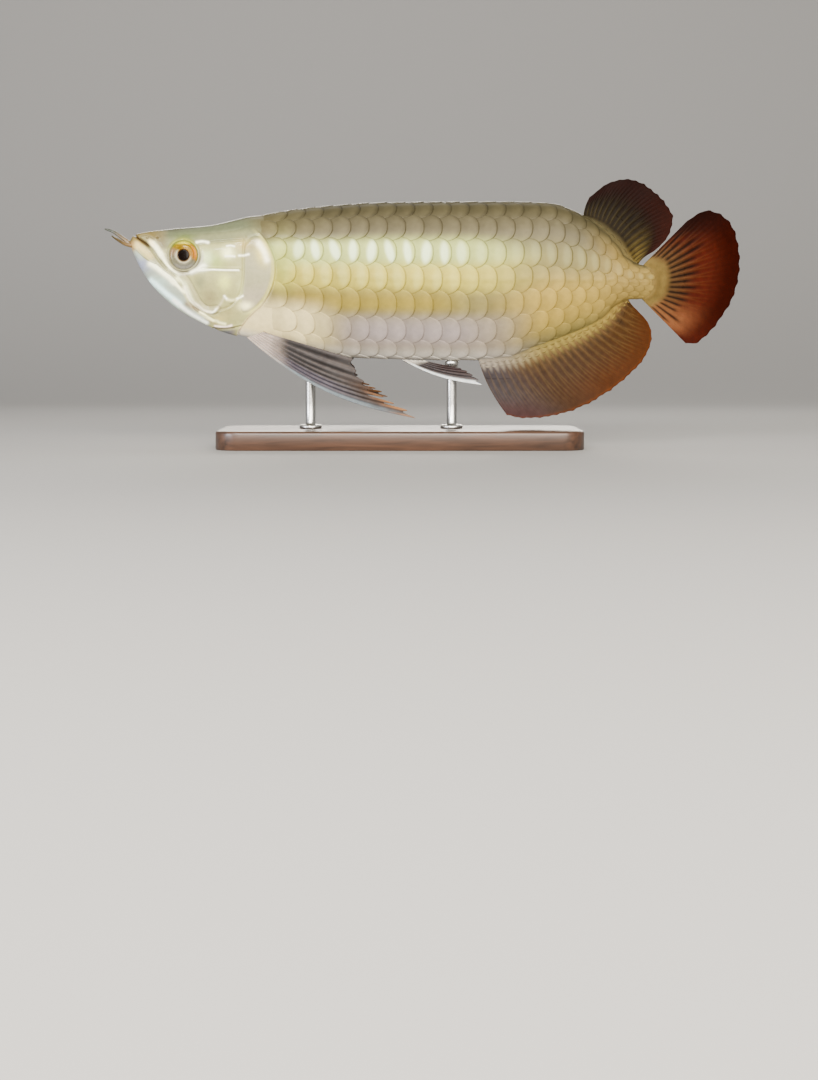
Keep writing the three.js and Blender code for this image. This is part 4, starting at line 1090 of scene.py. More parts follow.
def make_sheath(name, surface, count, rows, paint, length, flesh):
    """Pointed scales that run from the body out over that flesh, on both sides."""
    a, b, q, across, go = (part[::2, ::2] for part in (ALONG, SIDEWAYS, DEPTH_SHARE, ACROSS, GO))
    chip, size = chip_faces(*a.shape), a.size
    points, faces, colours, maps = [], [], [], []
    for row, s_middle in enumerate(rows):
        for k in range(count + row % 2):
            t_middle = (k + 0.5 - 0.5 * (row % 2)) / count
            root, tip = surface(np.array([t_middle, t_middle]), np.array([0.0, 1.0]))
            half = 0.5 * length * rng.uniform(0.85, 1.2) / float(np.linalg.norm(tip - root))
            s = s_middle + a * half
            t = np.clip(t_middle + b * (1 - 0.35 * q**2) * 0.62 / count, 0, 1)
            lift = flesh_lift(t, s, flesh) + mix(-0.5, 0.14, q)
            normal = sheet_normal(surface, t, np.maximum(s, 0))
            v = (row + 0.5 + 0.4 * across) / len(rows)
            for sign in (1, -1):
                faces.append([block[:, ::sign] + 2 * size * len(faces) for block in chip])
                for deep, first, share in ((0, 0.0, UPPER_SHARE), (0.25, 0.87, UNDER_SHARE)):
                    face = surface(t, s) + sign * normal * (lift - deep)[..., None]
                    points.append(bent(face).reshape(-1, 3))
                    colours.append(paint(t, s, q).reshape(-1, 3))
                    u = (t_middle + 0.8 / count * (first + share * go - 0.5)).clip(0.002, 0.998)
                    maps.append(np.stack([0.5 * u + (0 if sign > 0 else 0.5), v], -1).reshape(-1, 2))
    alike = {"along": q.ravel(), "across": across.ravel(), "pearl_sheen": np.zeros(size),
             "edge": np.full(size, 0.3)}
    numbers = {key: [values] * len(points) for key, values in alike.items()}
    return chips_piece(name, points, faces, numbers, colours, maps)


# %% [markdown]
# ### Fins of the middle line
#
# The dorsal and anal fins sit far back, like the feathers of an arrow, and the tail fin is a rounded
# fan. Their tips follow the outlines of the solids, and their roots start a little inside the body.
# A slope of soft flesh leads from the fish's side out onto each of them, in the body's own colour.
# Rows of small pointed scales lie on that slope along the anal and dorsal fins.

# %% Outlines of the dorsal, anal and tail fin
DORSAL_TIPS = [
    (151, 199), (167, 210.4), (187, 213), (206, 202), (219, 186), (216.4, 170), (207, 159), (197, 152.6),
]
ANAL_TIPS = [
    (86, 25.6), (100, 22.6), (120, 24.4), (144, 31), (170, 45.6), (189, 61.6), (200, 75.4),
    (203.2, 89.4), (200, 100), (191, 109.6),
]
TAIL_ROOTS = [(196, 146.5), (204, 141), (206, 132), (204, 123), (196, 117)]
TAIL_TIPS = [
    (231.5, 181.5), (246, 189.6), (261, 187), (271.5, 177.6), (277, 160.6), (278, 146.4),
    (276, 131.6), (270, 115.4), (261, 102), (251, 91), (240.5, 83), (231.5, 83),
]
ROOT_SUNK = 3.0
DORSAL_ROOT_X, ANAL_ROOT_X = (146.0, 190.0), (62.0, 182.0)
DORSAL_RAYS, ANAL_RAYS, TAIL_RAYS = 19, 26, 17


def along_curve(points):
    """A smooth curve through the points, walked evenly by a share from 0 to 1."""
    line = rounded(points, steps=24)
    gone = np.concatenate([[0], np.cumsum(np.hypot(*np.diff(line, axis=0).T))])
    return lambda t: np.stack([np.interp(t * gone[-1], gone, line[:, k]) for k in (0, 1)], -1)


def middle_surface(roots, tips, sweep):
    """A sheet on the middle plane, whose rays run from roots to tips in a slight arc."""
    def surface(t, s):
        root, tip = roots(t), tips(t)
        way = tip - root
        bow = sweep * np.sin(np.pi * s)
        x = root[..., 0] + way[..., 0] * s - way[..., 1] * bow
        z = root[..., 1] + way[..., 1] * s + way[..., 0] * bow
        return np.stack([x, np.zeros_like(x), z], -1)

    return surface


def dorsal_roots(t):
    x = mix(*DORSAL_ROOT_X, t)
    return np.stack([x, back(x) - ROOT_SUNK], -1)


def anal_roots(t):
    x = mix(*ANAL_ROOT_X, t)
    return np.stack([x, belly(x) + ROOT_SUNK], -1)


dorsal_surface = middle_surface(dorsal_roots, along_curve(DORSAL_TIPS), 0.06)
anal_surface = middle_surface(anal_roots, along_curve(ANAL_TIPS), -0.05)
tail_surface = middle_surface(along_curve(TAIL_ROOTS), along_curve(TAIL_TIPS), 0.0)
ray_root, ray_tip = tail_surface(np.array([0.5, 0.5]), np.array([0.0, 1.0]))
print("length of the tail fin's middle ray:", round(float(np.linalg.norm(ray_tip - ray_root))), "mm")

# %% [markdown]
# ### Paint on the middle fins
#
# All three run from the body's own colour at the root to a dark brown-red, or nearly black on the
# dorsal fin. Dark dashes lie between the rays, and the rays are a little paler than the skin.

# %% Paints of the middle fins, and the fins themselves
def root_colour(t, root_x, edge, inward):
    """The body's own colour beside a fin's root."""
    x = mix(*root_x, t)
    return flank_colour(x, edge(x) + inward)


def anal_paint(t, s, ridge):
    colour = spray(fill(t, "#2d1f14"), [
        ("#302b2c", 1 - smooth(t, 0.03, 0.36)),
        ("#301d09", smooth(t, 0.4, 0.85)),
        ("#361905", 0.85 * smooth(s, 0.42, 0.9) * smooth(t, 0.22, 0.6)),
        ("#331d1b", 0.7 * smooth(s, 0.55, 0.95) * (1 - smooth(t, 0.1, 0.3))),
        ("#4b3922", 0.8 * (1 - smooth(s, 0.1, 0.42)) * smooth(t, 0.08, 0.4)),
        ("#1c140b", 0.55 * streaks(t, s, ANAL_RAYS, 3, 0.08, 0.42) * smooth(t, 0.12, 0.45)),
        ("#4f260d", 0.5 * smooth(s, 0.94, 0.99)),
        ("#624d2c", 0.18 * ridge * (1 - smooth(s, 0.5, 1))),
    ])
    flesh = 1 - smooth(s + 0.035 * np.cos(2 * np.pi * (ANAL_RAYS - 1) * t), 0.03, 0.25)
    return mix(colour, root_colour(t, ANAL_ROOT_X, belly, 9), flesh[..., None])


def dorsal_paint(t, s, ridge):
    colour = spray(fill(t, "#0c0502"), [
        ("#1b150b", 1 - smooth(s, 0.18, 0.5)),
        ("#120402", smooth(s, 0.45, 0.85) * (1 - smooth(t, 0.5, 1))),
        ("#210803", 0.8 * smooth(s, 0.5, 0.95) * smooth(t, 0.35, 0.8)),
        ("#4d3f1a", 0.9 * smooth(t, 0.58, 0.9) * (1 - smooth(s, 0.25, 0.7))),
        ("#110d08", 0.8 * streaks(t, s, DORSAL_RAYS, 5, 0.1, 0.6)),
        ("#352f1b", 0.3 * ridge * (1 - smooth(s, 0.3, 0.75))),
    ])
    root = root_colour(t, DORSAL_ROOT_X, back, -ROOT_SUNK)
    return mix(colour, root, (1 - smooth(s, 0.04, 0.16))[..., None])


def tail_paint(t, s, ridge):
    colour = spray(fill(t, "#350f06"), [
        ("#3c2917", 1 - smooth(s, 0.18, 0.5)),
        ("#200400", smooth(s, 0.58, 0.9) * (1 - 0.6 * smooth(t, 0.7, 0.95))),
        ("#120402", 0.9 * (1 - smooth(t, 0.1, 0.36)) * smooth(s, 0.3, 0.7)),
        ("#744a2c", 0.55 * smooth(t, 0.68, 0.95) * (1 - smooth(s, 0.5, 0.9))),
        ("#0b0603", 0.93 * streaks(t, s, TAIL_RAYS, 8, 0.13, 0.6)),
        ("#51351b", 0.3 * ridge * (1 - smooth(s, 0.3, 0.8))),
    ])
    return mix(colour, fill(t, "#5a4a26"), (1 - smooth(s, 0.08, 0.2))[..., None])


def anal_sheath_paint(t, s, q):
    colour = root_colour(t, ANAL_ROOT_X, belly, 9) * 0.9
    return tint(colour, "#3b2c18", 0.5 * smooth(q, 0.75, 1) * smooth(t, 0.1, 0.4))


def dorsal_sheath_paint(t, s, q):
    return tint(root_colour(t, DORSAL_ROOT_X, back, -ROOT_SUNK), "#211c11", 0.5 * smooth(q, 0.7, 1))


dorsal_fin = make_fin("dorsal_fin_rays", DORSAL_RAYS, dorsal_surface, dorsal_paint, (1.5, 0.5), 0.02,
                      ripple=0.9)
anal_fin = make_fin("anal_fin_rays", ANAL_RAYS, anal_surface, anal_paint, (1.4, 0.5), 0.014, ripple=1.6)
tail_fin = make_fin("tail_fin_rays", TAIL_RAYS, tail_surface, tail_paint, (1.7, 0.5), 0.02, ripple=1.2)
# Flesh: half its thickness at the first and last ray, how far out it fades, and how square its ends are.
ANAL_FLESH = ((5.9, 4.3), 0.075, 14.0)
DORSAL_FLESH = ((5.2, 4.4), 0.08, 14.0)
TAIL_FLESH = ((4.3, 4.3), 0.09, 2.3)
flesh = [
    make_flesh("anal_fin_flesh", anal_surface, anal_paint, ANAL_FLESH, (-0.03, 0.34)),
    make_flesh("dorsal_fin_flesh", dorsal_surface, dorsal_paint, DORSAL_FLESH, (-0.03, 0.34)),
    make_flesh("tail_fin_flesh", tail_surface, tail_paint, TAIL_FLESH, (-0.08, 0.34)),
]
sheaths = [
    make_sheath("anal_sheath_scales", anal_surface, 22, (0.01, 0.07), anal_sheath_paint, 10.5, ANAL_FLESH),
    make_sheath("dorsal_sheath_scales", dorsal_surface, 9, (0.01,), dorsal_sheath_paint, 8.0, DORSAL_FLESH),
]

# %% [markdown]
# ### Paired fins
#
# The pectoral fins are long and stiff, like an oar, and curve back under the body. Their rays part
# at the tip, where the skin between them is cut in. The pelvic fins are small and trail under the
# belly. The far pectoral fin reaches further forward, up and out than the near one.

# %% Pectoral and pelvic fins
PECTORAL_ROOTS = [(-121, 88, 13), (-108, 92, 19)]
PECTORAL_TIPS = [
    (12.8, 25.4), (7, 30.4), (-3, 36), (-13, 41.8), (-23.5, 49), (-32.5, 58.5), (-37.5, 71),
]
PELVIC_ROOTS = [(2, 70, 8), (19, 69, 6.5)]
PELVIC_TIPS = [(65, 50.4), (63, 53.6), (59.5, 57), (55, 60), (50, 62.4), (44, 64.4)]
FAR_SWING = {"back": -24.0, "up": 13.0, "spread": 12.0}
NO_SWING = {"back": 0.0, "up": 0.0, "spread": 0.0}
PECTORAL_RAYS, PELVIC_RAYS = 8, 6
# How far the edge is cut in between each two rays, as a share of their length.
PECTORAL_CUTS = [0.05, 0.11, 0.17, 0.09, 0.06, 0.05, 0.04]


def side_surface(roots, tips, sag, spread, side, swing):
    """A sheet that leaves the flank, arches outwards and sags between its roots and its tips."""
    curve = along_curve(tips)
    front, rear = (np.array([x, side * y, z]) for x, z, y in roots)

    def surface(t, s):
        root = front + (rear - front) * t[..., None]
        tip = curve(t)
        share = s * (1 - t)
        drop = mix(sag[0], sag[1], t) * np.sin(np.pi * s.clip(0) ** 0.9)
        out = mix(spread[0], spread[1], t) * s + swing["spread"] * share
        x = mix(root[..., 0], tip[..., 0], s) + swing["back"] * share
        z = mix(root[..., 2], tip[..., 1], s) + swing["up"] * share - drop
        return np.stack([x, root[..., 1] + side * out, z], -1)

    return surface


def pectoral_paint(t, s, ridge):
    return spray(fill(t, "#2f2c2b"), [
        ("#444048", band(t, 0.08, 0.42, 0.08) * (1 - smooth(s, 0.5, 0.8))),
        ("#171413", 0.85 * streaks(t, s, PECTORAL_RAYS, 13, 0.12, 0.95)),
        ("#544d4a", 0.5 * ridge),
        ("#33241a", 0.8 * smooth(s, 0.66, 0.95) * (1 - smooth(t, 0.5, 0.8))),
        ("#895e3a", 0.7 * ridge * smooth(s, 0.8, 0.97) * (1 - smooth(t, 0.3, 0.6))),
        ("#5f6669", 0.95 * (1 - smooth(t, 0.045, 0.12)) * (1 - 0.8 * smooth(s, 0.6, 1))),
        ("#9c8d80", 0.9 * (1 - smooth(s, 0.04, 0.3))),
    ])


def pelvic_paint(t, s, ridge):
    return spray(fill(t, "#2f2b2b"), [
        ("#1e1212", 0.85 * smooth(t, 0.2, 0.6) * smooth(s, 0.3, 0.6)),
        ("#13100f", 0.7 * streaks(t, s, PELVIC_RAYS, 4, 0.15, 1.0)),
        ("#4d4543", 0.45 * ridge),
        ("#c2c6c4", 0.95 * (1 - smooth(t, 0.06, 0.18))),
        ("#a8a193", 0.8 * (1 - smooth(s, 0.02, 0.2))),
    ])


paired_fins = {}
for side, word in ((-1, "left"), (1, "right")):
    swing = NO_SWING if side < 0 else FAR_SWING
    surface = side_surface(PECTORAL_ROOTS, PECTORAL_TIPS, (13, 0), (46, 3), side, swing)
    paired_fins["pectoral_fin_" + word] = make_fin(
        f"pectoral_{word}_rays", PECTORAL_RAYS, surface, pectoral_paint, (2.2, 0.8), PECTORAL_CUTS,
        fork=0.35, per_ray=18, steps=80)
    surface = side_surface(PELVIC_ROOTS, PELVIC_TIPS, (4, 0.5), (17, 4), side, NO_SWING)
    paired_fins["pelvic_fin_" + word] = make_fin(
        f"pelvic_{word}_rays", PELVIC_RAYS, surface, pelvic_paint, (1.6, 0.6), 0.06, fork=0.4,
        per_ray=16, steps=48)

# %% [markdown]
# ## Turning round forms
#
# Eyes and rods are turned, as on a lathe: a profile is spun about an axis. An eye also needs its
# place on the flank, which is found by a few steps towards the spot where the photo shows it.

# %% Helpers for round forms
def flank_place(x, z, side):
    """The point of the flank that appears at x, z from the camera, and the way the skin faces."""
    at_x, at_z = x, z
    for _ in range(4):
        v = level_to_round(at_x, at_z)
        turn = v if side < 0 else 2 - v
        point = skin_point(np.array([at_x]), np.array([turn]))
        seen_x, seen_z = seen(point)
        at_x, at_z = at_x + x - float(seen_x[0]), at_z + z - float(seen_z[0])
    return point[0], skin_normal(np.array([at_x]), np.array([turn]))[0]


def turned(name, profile, centre, axis, segments, paint):
    """A round form: the profile's (radius, height) pairs are spun about the axis."""
    axis = unit(np.asarray(axis, float))
    first = unit(np.cross(axis, [1.0, 0, 0]))
    second = np.cross(axis, first)
    angle = np.arange(segments) * 2 * np.pi / segments
    ring = np.cos(angle)[:, None] * first + np.sin(angle)[:, None] * second
    radius, height = np.array(profile, float).T
    points = centre + radius[:, None, None] * ring + height[:, None, None] * axis
    ends = np.array([centre + height[0] * axis, centre + height[-1] * axis])
    return round_piece(name, points, ends, lambda p: paint(p - centre))


def round_piece(name, rings, ends, paint):
    """A mesh of closed rings between two end points."""
    rows, columns = rings.shape[:2]
    count = rows * columns
    first, last = np.arange(columns), count - columns + np.arange(columns)
    one = np.ones(columns, int)
    caps = [np.stack([np.roll(first, -1), first, count * one], -1),
            np.stack([last, np.roll(last, -1), (count + 1) * one], -1)]
    points = np.vstack([rings.reshape(-1, 3), ends])
    return new_piece(name, points, [grid_faces(rows, columns, closed=True)] + caps, colour=paint(points))


print("left eye faces:", np.round(flank_place(EYE_X, EYE_Z, -1)[1], 2))

# %% [markdown]
# ## Eyes
#
# An arowana's eye is large, flat-fronted and wet. Its profile is a low dome with the pupil standing a
# little forward. Gold lies in a crescent over the pupil and behind it, and grey-beige with some
# silver lies below and in front.

# %% Eyeballs
PUPIL_RADIUS = 4.4
EYE_PROUD, EYE_DEPTH, EYE_SUNK = 2.3, 5.2, 0.4


def eye_paint(off):
    """The iris by its distance from the middle, and by how far up and back a point lies."""
    radius = np.linalg.norm(off - off[..., 1:2] * [0, 1, 0], axis=-1)
    up, rear = off[..., 2], off[..., 0]
    gold = smooth(0.95 * up + 0.5 * rear, -1.0, 3.0)
    brown = 0.7 * smooth(up, -3, 3) * dent(rear + 8.2, 2.2) + 0.4 * dent(rear + 10.6, 0.5)
    return spray(fill(radius, "#5e5b45"), [
        ("#6b685f", 0.7 * smooth(-up, 5, 9)),
        ("#7e5a38", brown),
        ("#6e5700", gold),
        ("#a39b30", gold * smooth(up, 8, 9.6)),
        ("#844c06", 0.85 * gold * smooth(rear, 4.5, 8)),
        ("#4d3400", 0.5 * gold * dent(radius - 6.6, 1.2)),
        ("#a39a7c", 0.9 * dent(radius - 5.9, 0.7) * (1 - gold)),
        ("#433e33", 0.6 * (1 - gold) * dent(radius - 8.4, 0.6)),
        ("#676c19", 0.7 * smooth(radius, 9.9, 10.9) * gold),
        ("#44240d", 0.85 * dent(radius - 4.8, 0.5)),
        ("#090402", 1 - smooth(radius, 4.3, 4.8)),
    ])


def eye_profile():
    """The eye's half section as (radius, height): pupil, dished iris, and the round back."""
    pupil = np.linspace(0.05, PUPIL_RADIUS, 12)
    radius = np.concatenate([pupil, np.linspace(PUPIL_RADIUS + 0.25, EYE_RADIUS, 34)])
    dome = EYE_PROUD * np.sqrt(np.clip(1 - (radius / (EYE_RADIUS + 0.15)) ** 2, 0, 1))
    dish = 0.4 * smooth(radius, PUPIL_RADIUS, PUPIL_RADIUS + 0.5) * (1 - smooth(radius, 7.5, 9.5))
    front = list(zip(radius, dome - dish))
    angle = np.linspace(0, np.pi / 2, 14)[1:-1]
    return front + list(zip(EYE_RADIUS * np.cos(angle), -EYE_DEPTH * np.sin(angle)))


eyes = {}
for side, word in ((-1, "left"), (1, "right")):
    at, facing = flank_place(EYE_X, EYE_Z, side)
    middle = at - EYE_SUNK * facing
    eyes["eye_" + word] = turned(f"eyeball_{word}", eye_profile(), middle, facing, 64, eye_paint)

# %% [markdown]
# ## Barbels
#
# Two soft feelers grow from the tip of the chin. They are tapered tubes on a gentle curve, brown at
# the root and dark olive at the tip. The near one is shorter and points more outwards. Close to, they
# leave the chin a little lower than on the plain solids.

# %% Barbels
BARBEL_ROOT, BARBEL_LOWER = (-213.4, 2.6, 163.6), 3.2
BARBEL_RADII = [2.1, 1.9, 1.7, 1.5, 1.3, 1.0, 0.6]
BARBEL_WAYS = {
    -1: [(3, -0.6, -1.6), (0, 0, 0), (-5, 2.6, 0.6), (-9.6, 6.6, 2), (-14, 12, 4)],
    1: [(3, -0.6, -1.6), (0, 0, 0), (-8, 1.4, 4.6), (-16, 3.4, 8.2), (-23, 6, 10.4)],
}


def tube(name, way, radii, sides, paint):
    """A round tube along a smooth way, whose radii are spread evenly over it."""
    line = rounded(way, steps=14)
    heading = unit(np.gradient(line, axis=0))
    first = unit(np.cross(heading, [0.0, 1.0, 0.0]))
    second = np.cross(heading, first)
    angle = np.arange(sides) * 2 * np.pi / sides
    radius = np.interp(np.linspace(0, 1, len(line)), np.linspace(0, 1, len(radii)), radii)
    ring = np.cos(angle)[:, None] * first[:, None] + np.sin(angle)[:, None] * second[:, None]
    ends = np.array([line[0], line[-1] + heading[-1] * radius[-1] * 0.6])
    return round_piece(name, line[:, None] + radius[:, None, None] * ring, ends, paint)


def barbel_paint(points):
    share = smooth(-points[..., 0], 212, 234)
    return spray(fill(share, "#66502d"), [
        ("#4b3d20", smooth(share, 0.1, 0.5)),
        ("#2e3122", smooth(share, 0.5, 1.0)),
    ])


barbels = {}
for side, word in ((-1, "left"), (1, "right")):
    way = []
    for ahead, outward, up in BARBEL_WAYS[side]:
        lower = BARBEL_LOWER * (1 - smooth(-ahead, 0, 17))
        way.append((BARBEL_ROOT[0] + ahead, side * (BARBEL_ROOT[1] + outward), BARBEL_ROOT[2] + up - lower))
    barbels["barbel_" + word] = tube(f"feeler_{word}", way, BARBEL_RADII, 20, barbel_paint)

# %% [markdown]
# ## Materials
#
# A material is a little network of nodes round one shader. The first helper adds a node with its
# settings, and plugs in either a number or another node's output. The next ones build what most
# finishes here share: a cloudy noise, paint that is a little darker and lighter by it, an uneven
# gloss, and a relief of a fraction of a millimetre. A noise scale counts cells to the metre, so a
# scale of 1000 makes a pattern a millimetre wide.

# %% Helpers for nodes
def add(tree, kind, inputs=None, **settings):
    made = tree.nodes.new(kind)
    for key, value in settings.items():
        setattr(made, key, value)
    for key, value in (inputs or {}).items():
        if isinstance(value, bpy.types.NodeSocket):
            tree.links.new(value, made.inputs[key])
        else:
            made.inputs[key].default_value = value
    return made


def new_material(name, **shader):
    """A material with one shader, whose settings are named as on its sockets."""
    material = bpy.data.materials.new(name)
    material.use_nodes = True
    tree = material.node_tree
    tree.nodes.clear()
    surface = add(tree, "ShaderNodeBsdfPrincipled")
    for key, value in shader.items():
        surface.inputs[key.replace("_", " ")].default_value = value
    output = add(tree, "ShaderNodeOutputMaterial")
    tree.links.new(surface.outputs["BSDF"], output.inputs["Surface"])
    return material, tree, surface


def hue(code):
    """A hex colour as a socket takes it."""
    return (*linear(code), 1.0)


def object_place(tree):
    return add(tree, "ShaderNodeTexCoord").outputs["Object"]


def carried(tree, key):
    """The numbers or the paint that a mesh carries on its vertices."""
    return add(tree, "ShaderNodeAttribute", attribute_name=key)


def noise(tree, where, scale, detail, **more):
    inputs = {"Vector": where, "Scale": scale, "Detail": detail, **more}
    return add(tree, "ShaderNodeTexNoise", inputs).outputs["Fac"]


def maths(tree, operation, *values):
    """One step of reckoning with numbers or with other nodes' outputs."""
    return add(tree, "ShaderNodeMath", dict(enumerate(values)), operation=operation).outputs["Value"]


def ranged(tree, value, low, high, start=0.0, end=1.0, **settings):
    """Turns what runs from start to end into what runs from low to high."""
    inputs = {"Value": value, "From Min": start, "From Max": end, "To Min": low, "To Max": high}
    return add(tree, "ShaderNodeMapRange", inputs, **settings).outputs["Result"]


def shaded_paint(tree, shade):
    """The airbrushed paint, made darker or lighter by a shade near 1."""
    inputs = {0: carried(tree, "airbrush").outputs["Color"], 1: shade}
    return add(tree, "ShaderNodeVectorMath", inputs, operation="MULTIPLY").outputs["Vector"]


def mottled_paint(tree, surface, pattern, low, high):
    shade = ranged(tree, pattern, low, high, 0.3, 0.7)
    tree.links.new(shaded_paint(tree, shade), surface.inputs["Base Color"])


def uneven_gloss(tree, surface, pattern, low, high):
    tree.links.new(ranged(tree, pattern, low, high), surface.inputs["Roughness"])


def fine_relief(tree, surface, height, strength, depth_mm):
    inputs = {"Height": height, "Strength": strength, "Distance": depth_mm * MM}
    tree.links.new(add(tree, "ShaderNodeBump", inputs).outputs["Normal"], surface.inputs["Normal"])


def report(*materials):
    for material in materials:
        print(material.name, "has", len(material.node_tree.nodes), "nodes")


print("a middle grey as a socket takes it:", tuple(round(float(c), 3) for c in hue("#808080")))

# %% [markdown]
# ### Wet skin over bone
#
# Living skin is clear slime over pigment and bone. It bends light a little more than water does,
# with an index of 1.36, and has a soft gloss and a thin wet coat. Pores a millimetre wide roughen it,
# and a faint mottling three millimetres across breaks up the airbrushed colour.

# %% Skin material
def skin_material():
    material, tree, surface = new_material(
        "wet_skin_over_bone", IOR=1.36, Specular_IOR_Level=0.2, Roughness=0.36, Metallic=0.04,
        Coat_Weight=0.14, Coat_Roughness=0.08, Coat_IOR=1.34,
    )
    place = object_place(tree)
    mottled_paint(tree, surface, noise(tree, place, 320.0, 4.0), 0.9, 1.07)
    pores = add(tree, "ShaderNodeTexVoronoi", {"Vector": place, "Scale": 900.0}, feature="DISTANCE_TO_EDGE")
    grain = noise(tree, place, 1500.0, 3.0)
    uneven_gloss(tree, surface, grain, 0.28, 0.46)
    fine_relief(tree, surface, maths(tree, "ADD", pores.outputs["Distance"], grain), 0.10, 0.3)
    return material


SKIN = skin_material()
report(SKIN)

# %% [markdown]
# ### Pearly scales
#
# A scale is clear bone over a layer of tiny mirror plates, so it shines like weak metal under a thin
# wet coat. Its blue-white pearly sheen is painted, so that it shows from every side: partly the
# scale's own shimmer and partly a painted highlight. Growth rings run parallel to its free edge,
# 0.4 mm apart in life and drawn at 1.2 mm so that they show. The free edge is darker on the back and
# hardly at all on the belly.

# %% Scale material
SCALE_LENGTH, RING_SPACING = 22.0, 1.2


def scale_material():
    material, tree, surface = new_material(
        "pearly_scale", IOR=1.36, Specular_IOR_Level=0.1, Metallic=0.14, Roughness=0.36,
        Coat_Weight=0.05, Coat_Roughness=0.14, Coat_IOR=1.36,
    )
    place = object_place(tree)
    along, across, pearl_sheen, edge = (
        carried(tree, key).outputs["Fac"] for key in ("along", "across", "pearl_sheen", "edge"))
    # How near the free edge a point is: 1 at the rim.
    rim = maths(tree, "MULTIPLY_ADD", maths(tree, "POWER", across, 2.0), 0.34, along)
    near = ranged(tree, rim, 0.0, 1.0, 0.8, 1.02, interpolation_type="SMOOTHSTEP")
    mottle = noise(tree, place, 260.0, 3.0)
    cloud = ranged(tree, mottle, 0.92, 1.07, 0.3, 0.7)
    shade = maths(tree, "MULTIPLY_ADD", maths(tree, "MULTIPLY", near, edge), -0.5, cloud)
    # The painted sheen mixes in a pale blue-green: partly pearly colour, partly a painted highlight.
    colours = {0: pearl_sheen, 6: shaded_paint(tree, shade), 7: hue("#bac79c")}
    pearly = add(tree, "ShaderNodeMix", colours, data_type="RGBA")
    tree.links.new(pearly.outputs[2], surface.inputs["Base Color"])
    wave = maths(tree, "SINE", maths(tree, "MULTIPLY", rim, SCALE_LENGTH / RING_SPACING * 2 * math.pi))
    height = maths(tree, "MULTIPLY_ADD", wave, 0.3, noise(tree, place, 900.0, 2.0))
    fine_relief(tree, surface, height, 0.08, 0.3)
    uneven_gloss(tree, surface, mottle, 0.3, 0.46)
    return material


SCALE = scale_material()
report(SCALE)

# %% [markdown]
# ### Fins, eyes and feelers
#
# Fin skin is thin enough to let some light into it, so it gets a little scattering under the
# surface. The rays are jointed every couple of millimetres like bamboo. The eye is as smooth as a wet
# cornea, but its shine is kept weak, so that no lamp's mirror image hides the pupil.

# %% Fin, eye and feeler materials
RAY_JOINTS = 46.0
SKIN_DEPTHS = (0.003, 0.0015, 0.0008)


def fin_material(name, roughness):
    material, tree, surface = new_material(
        name, IOR=1.36, Roughness=roughness, Specular_IOR_Level=0.04, Coat_Weight=0.01,
        Coat_Roughness=0.3, Subsurface_Weight=0.08, Subsurface_Radius=SKIN_DEPTHS, Subsurface_Scale=0.4,
    )
    place = object_place(tree)
    mottled_paint(tree, surface, noise(tree, place, 220.0, 5.0), 0.82, 1.12)
    outward, ridge = (carried(tree, key).outputs["Fac"] for key in ("outward", "ridge"))
    joint = maths(tree, "SINE", maths(tree, "MULTIPLY", outward, RAY_JOINTS * 2 * math.pi))
    on_ray = maths(tree, "MULTIPLY", ranged(tree, joint, 0.0, -0.6, 0.7, 1.0), ridge)
    height = maths(tree, "MULTIPLY_ADD", noise(tree, place, 1100.0, 3.0), 0.5, on_ray)
    fine_relief(tree, surface, height, 0.25, 0.4)
    return material


def eye_material():
    material, tree, surface = new_material(
        "wet_cornea_over_gold_iris", IOR=1.34, Specular_IOR_Level=0.08, Metallic=0.1,
        Coat_Weight=0.12, Coat_Roughness=0.02, Coat_IOR=1.34,
    )
    flecks = noise(tree, object_place(tree), 900.0, 4.0)
    mottled_paint(tree, surface, flecks, 0.78, 1.15)
    uneven_gloss(tree, surface, flecks, 0.12, 0.3)
    return material


def feeler_material():
    material, tree, surface = new_material(
        "soft_feeler_skin", IOR=1.38, Coat_Weight=0.3, Coat_Roughness=0.2,
        Subsurface_Weight=0.2, Subsurface_Radius=SKIN_DEPTHS, Subsurface_Scale=0.4,
    )
    mottle = noise(tree, object_place(tree), 700.0, 3.0)
    mottled_paint(tree, surface, mottle, 0.8, 1.1)
    uneven_gloss(tree, surface, mottle, 0.35, 0.55)
    fine_relief(tree, surface, mottle, 0.2, 0.3)
    return material


PALE_FIN, RED_FIN = fin_material("pale_fin_skin", 0.45), fin_material("red_fin_skin", 0.55)
EYE, FEELER = eye_material(), feeler_material()
report(PALE_FIN, RED_FIN, EYE, FEELER)

# %% [markdown]
# ## The stand
#
# A museum model rests on a plain block. This one is oiled walnut with a rounded, bevelled edge, and
# two turned steel rods, each with a round foot and a small cup that holds the belly.

# %% Stand shapes
BASE_LENGTH, BASE_WIDTH, BASE_HEIGHT, BASE_CORNER = 290.0, 112.0, 15.0, 20.0
BASE_BEVEL = 2.4
ROD_X, ROD_RADIUS = (-72.0, 41.5), 4.0
WALNUT_TONE, STEEL_TONE = "#5e3e26", "#a3a6a9"


def rounded_outline(length, width, corner, steps=16):
    """A rectangle with round corners, seen from above."""
    points = []
    for cx, cy, start in ((1, 1, 0), (-1, 1, 90), (-1, -1, 180), (1, -1, 270)):
        for angle in np.radians(np.linspace(start, start + 90, steps + 1)):
            points.append((cx * (length / 2 - corner) + corner * math.cos(angle),
                           cy * (width / 2 - corner) + corner * math.sin(angle)))
    return np.array(points)


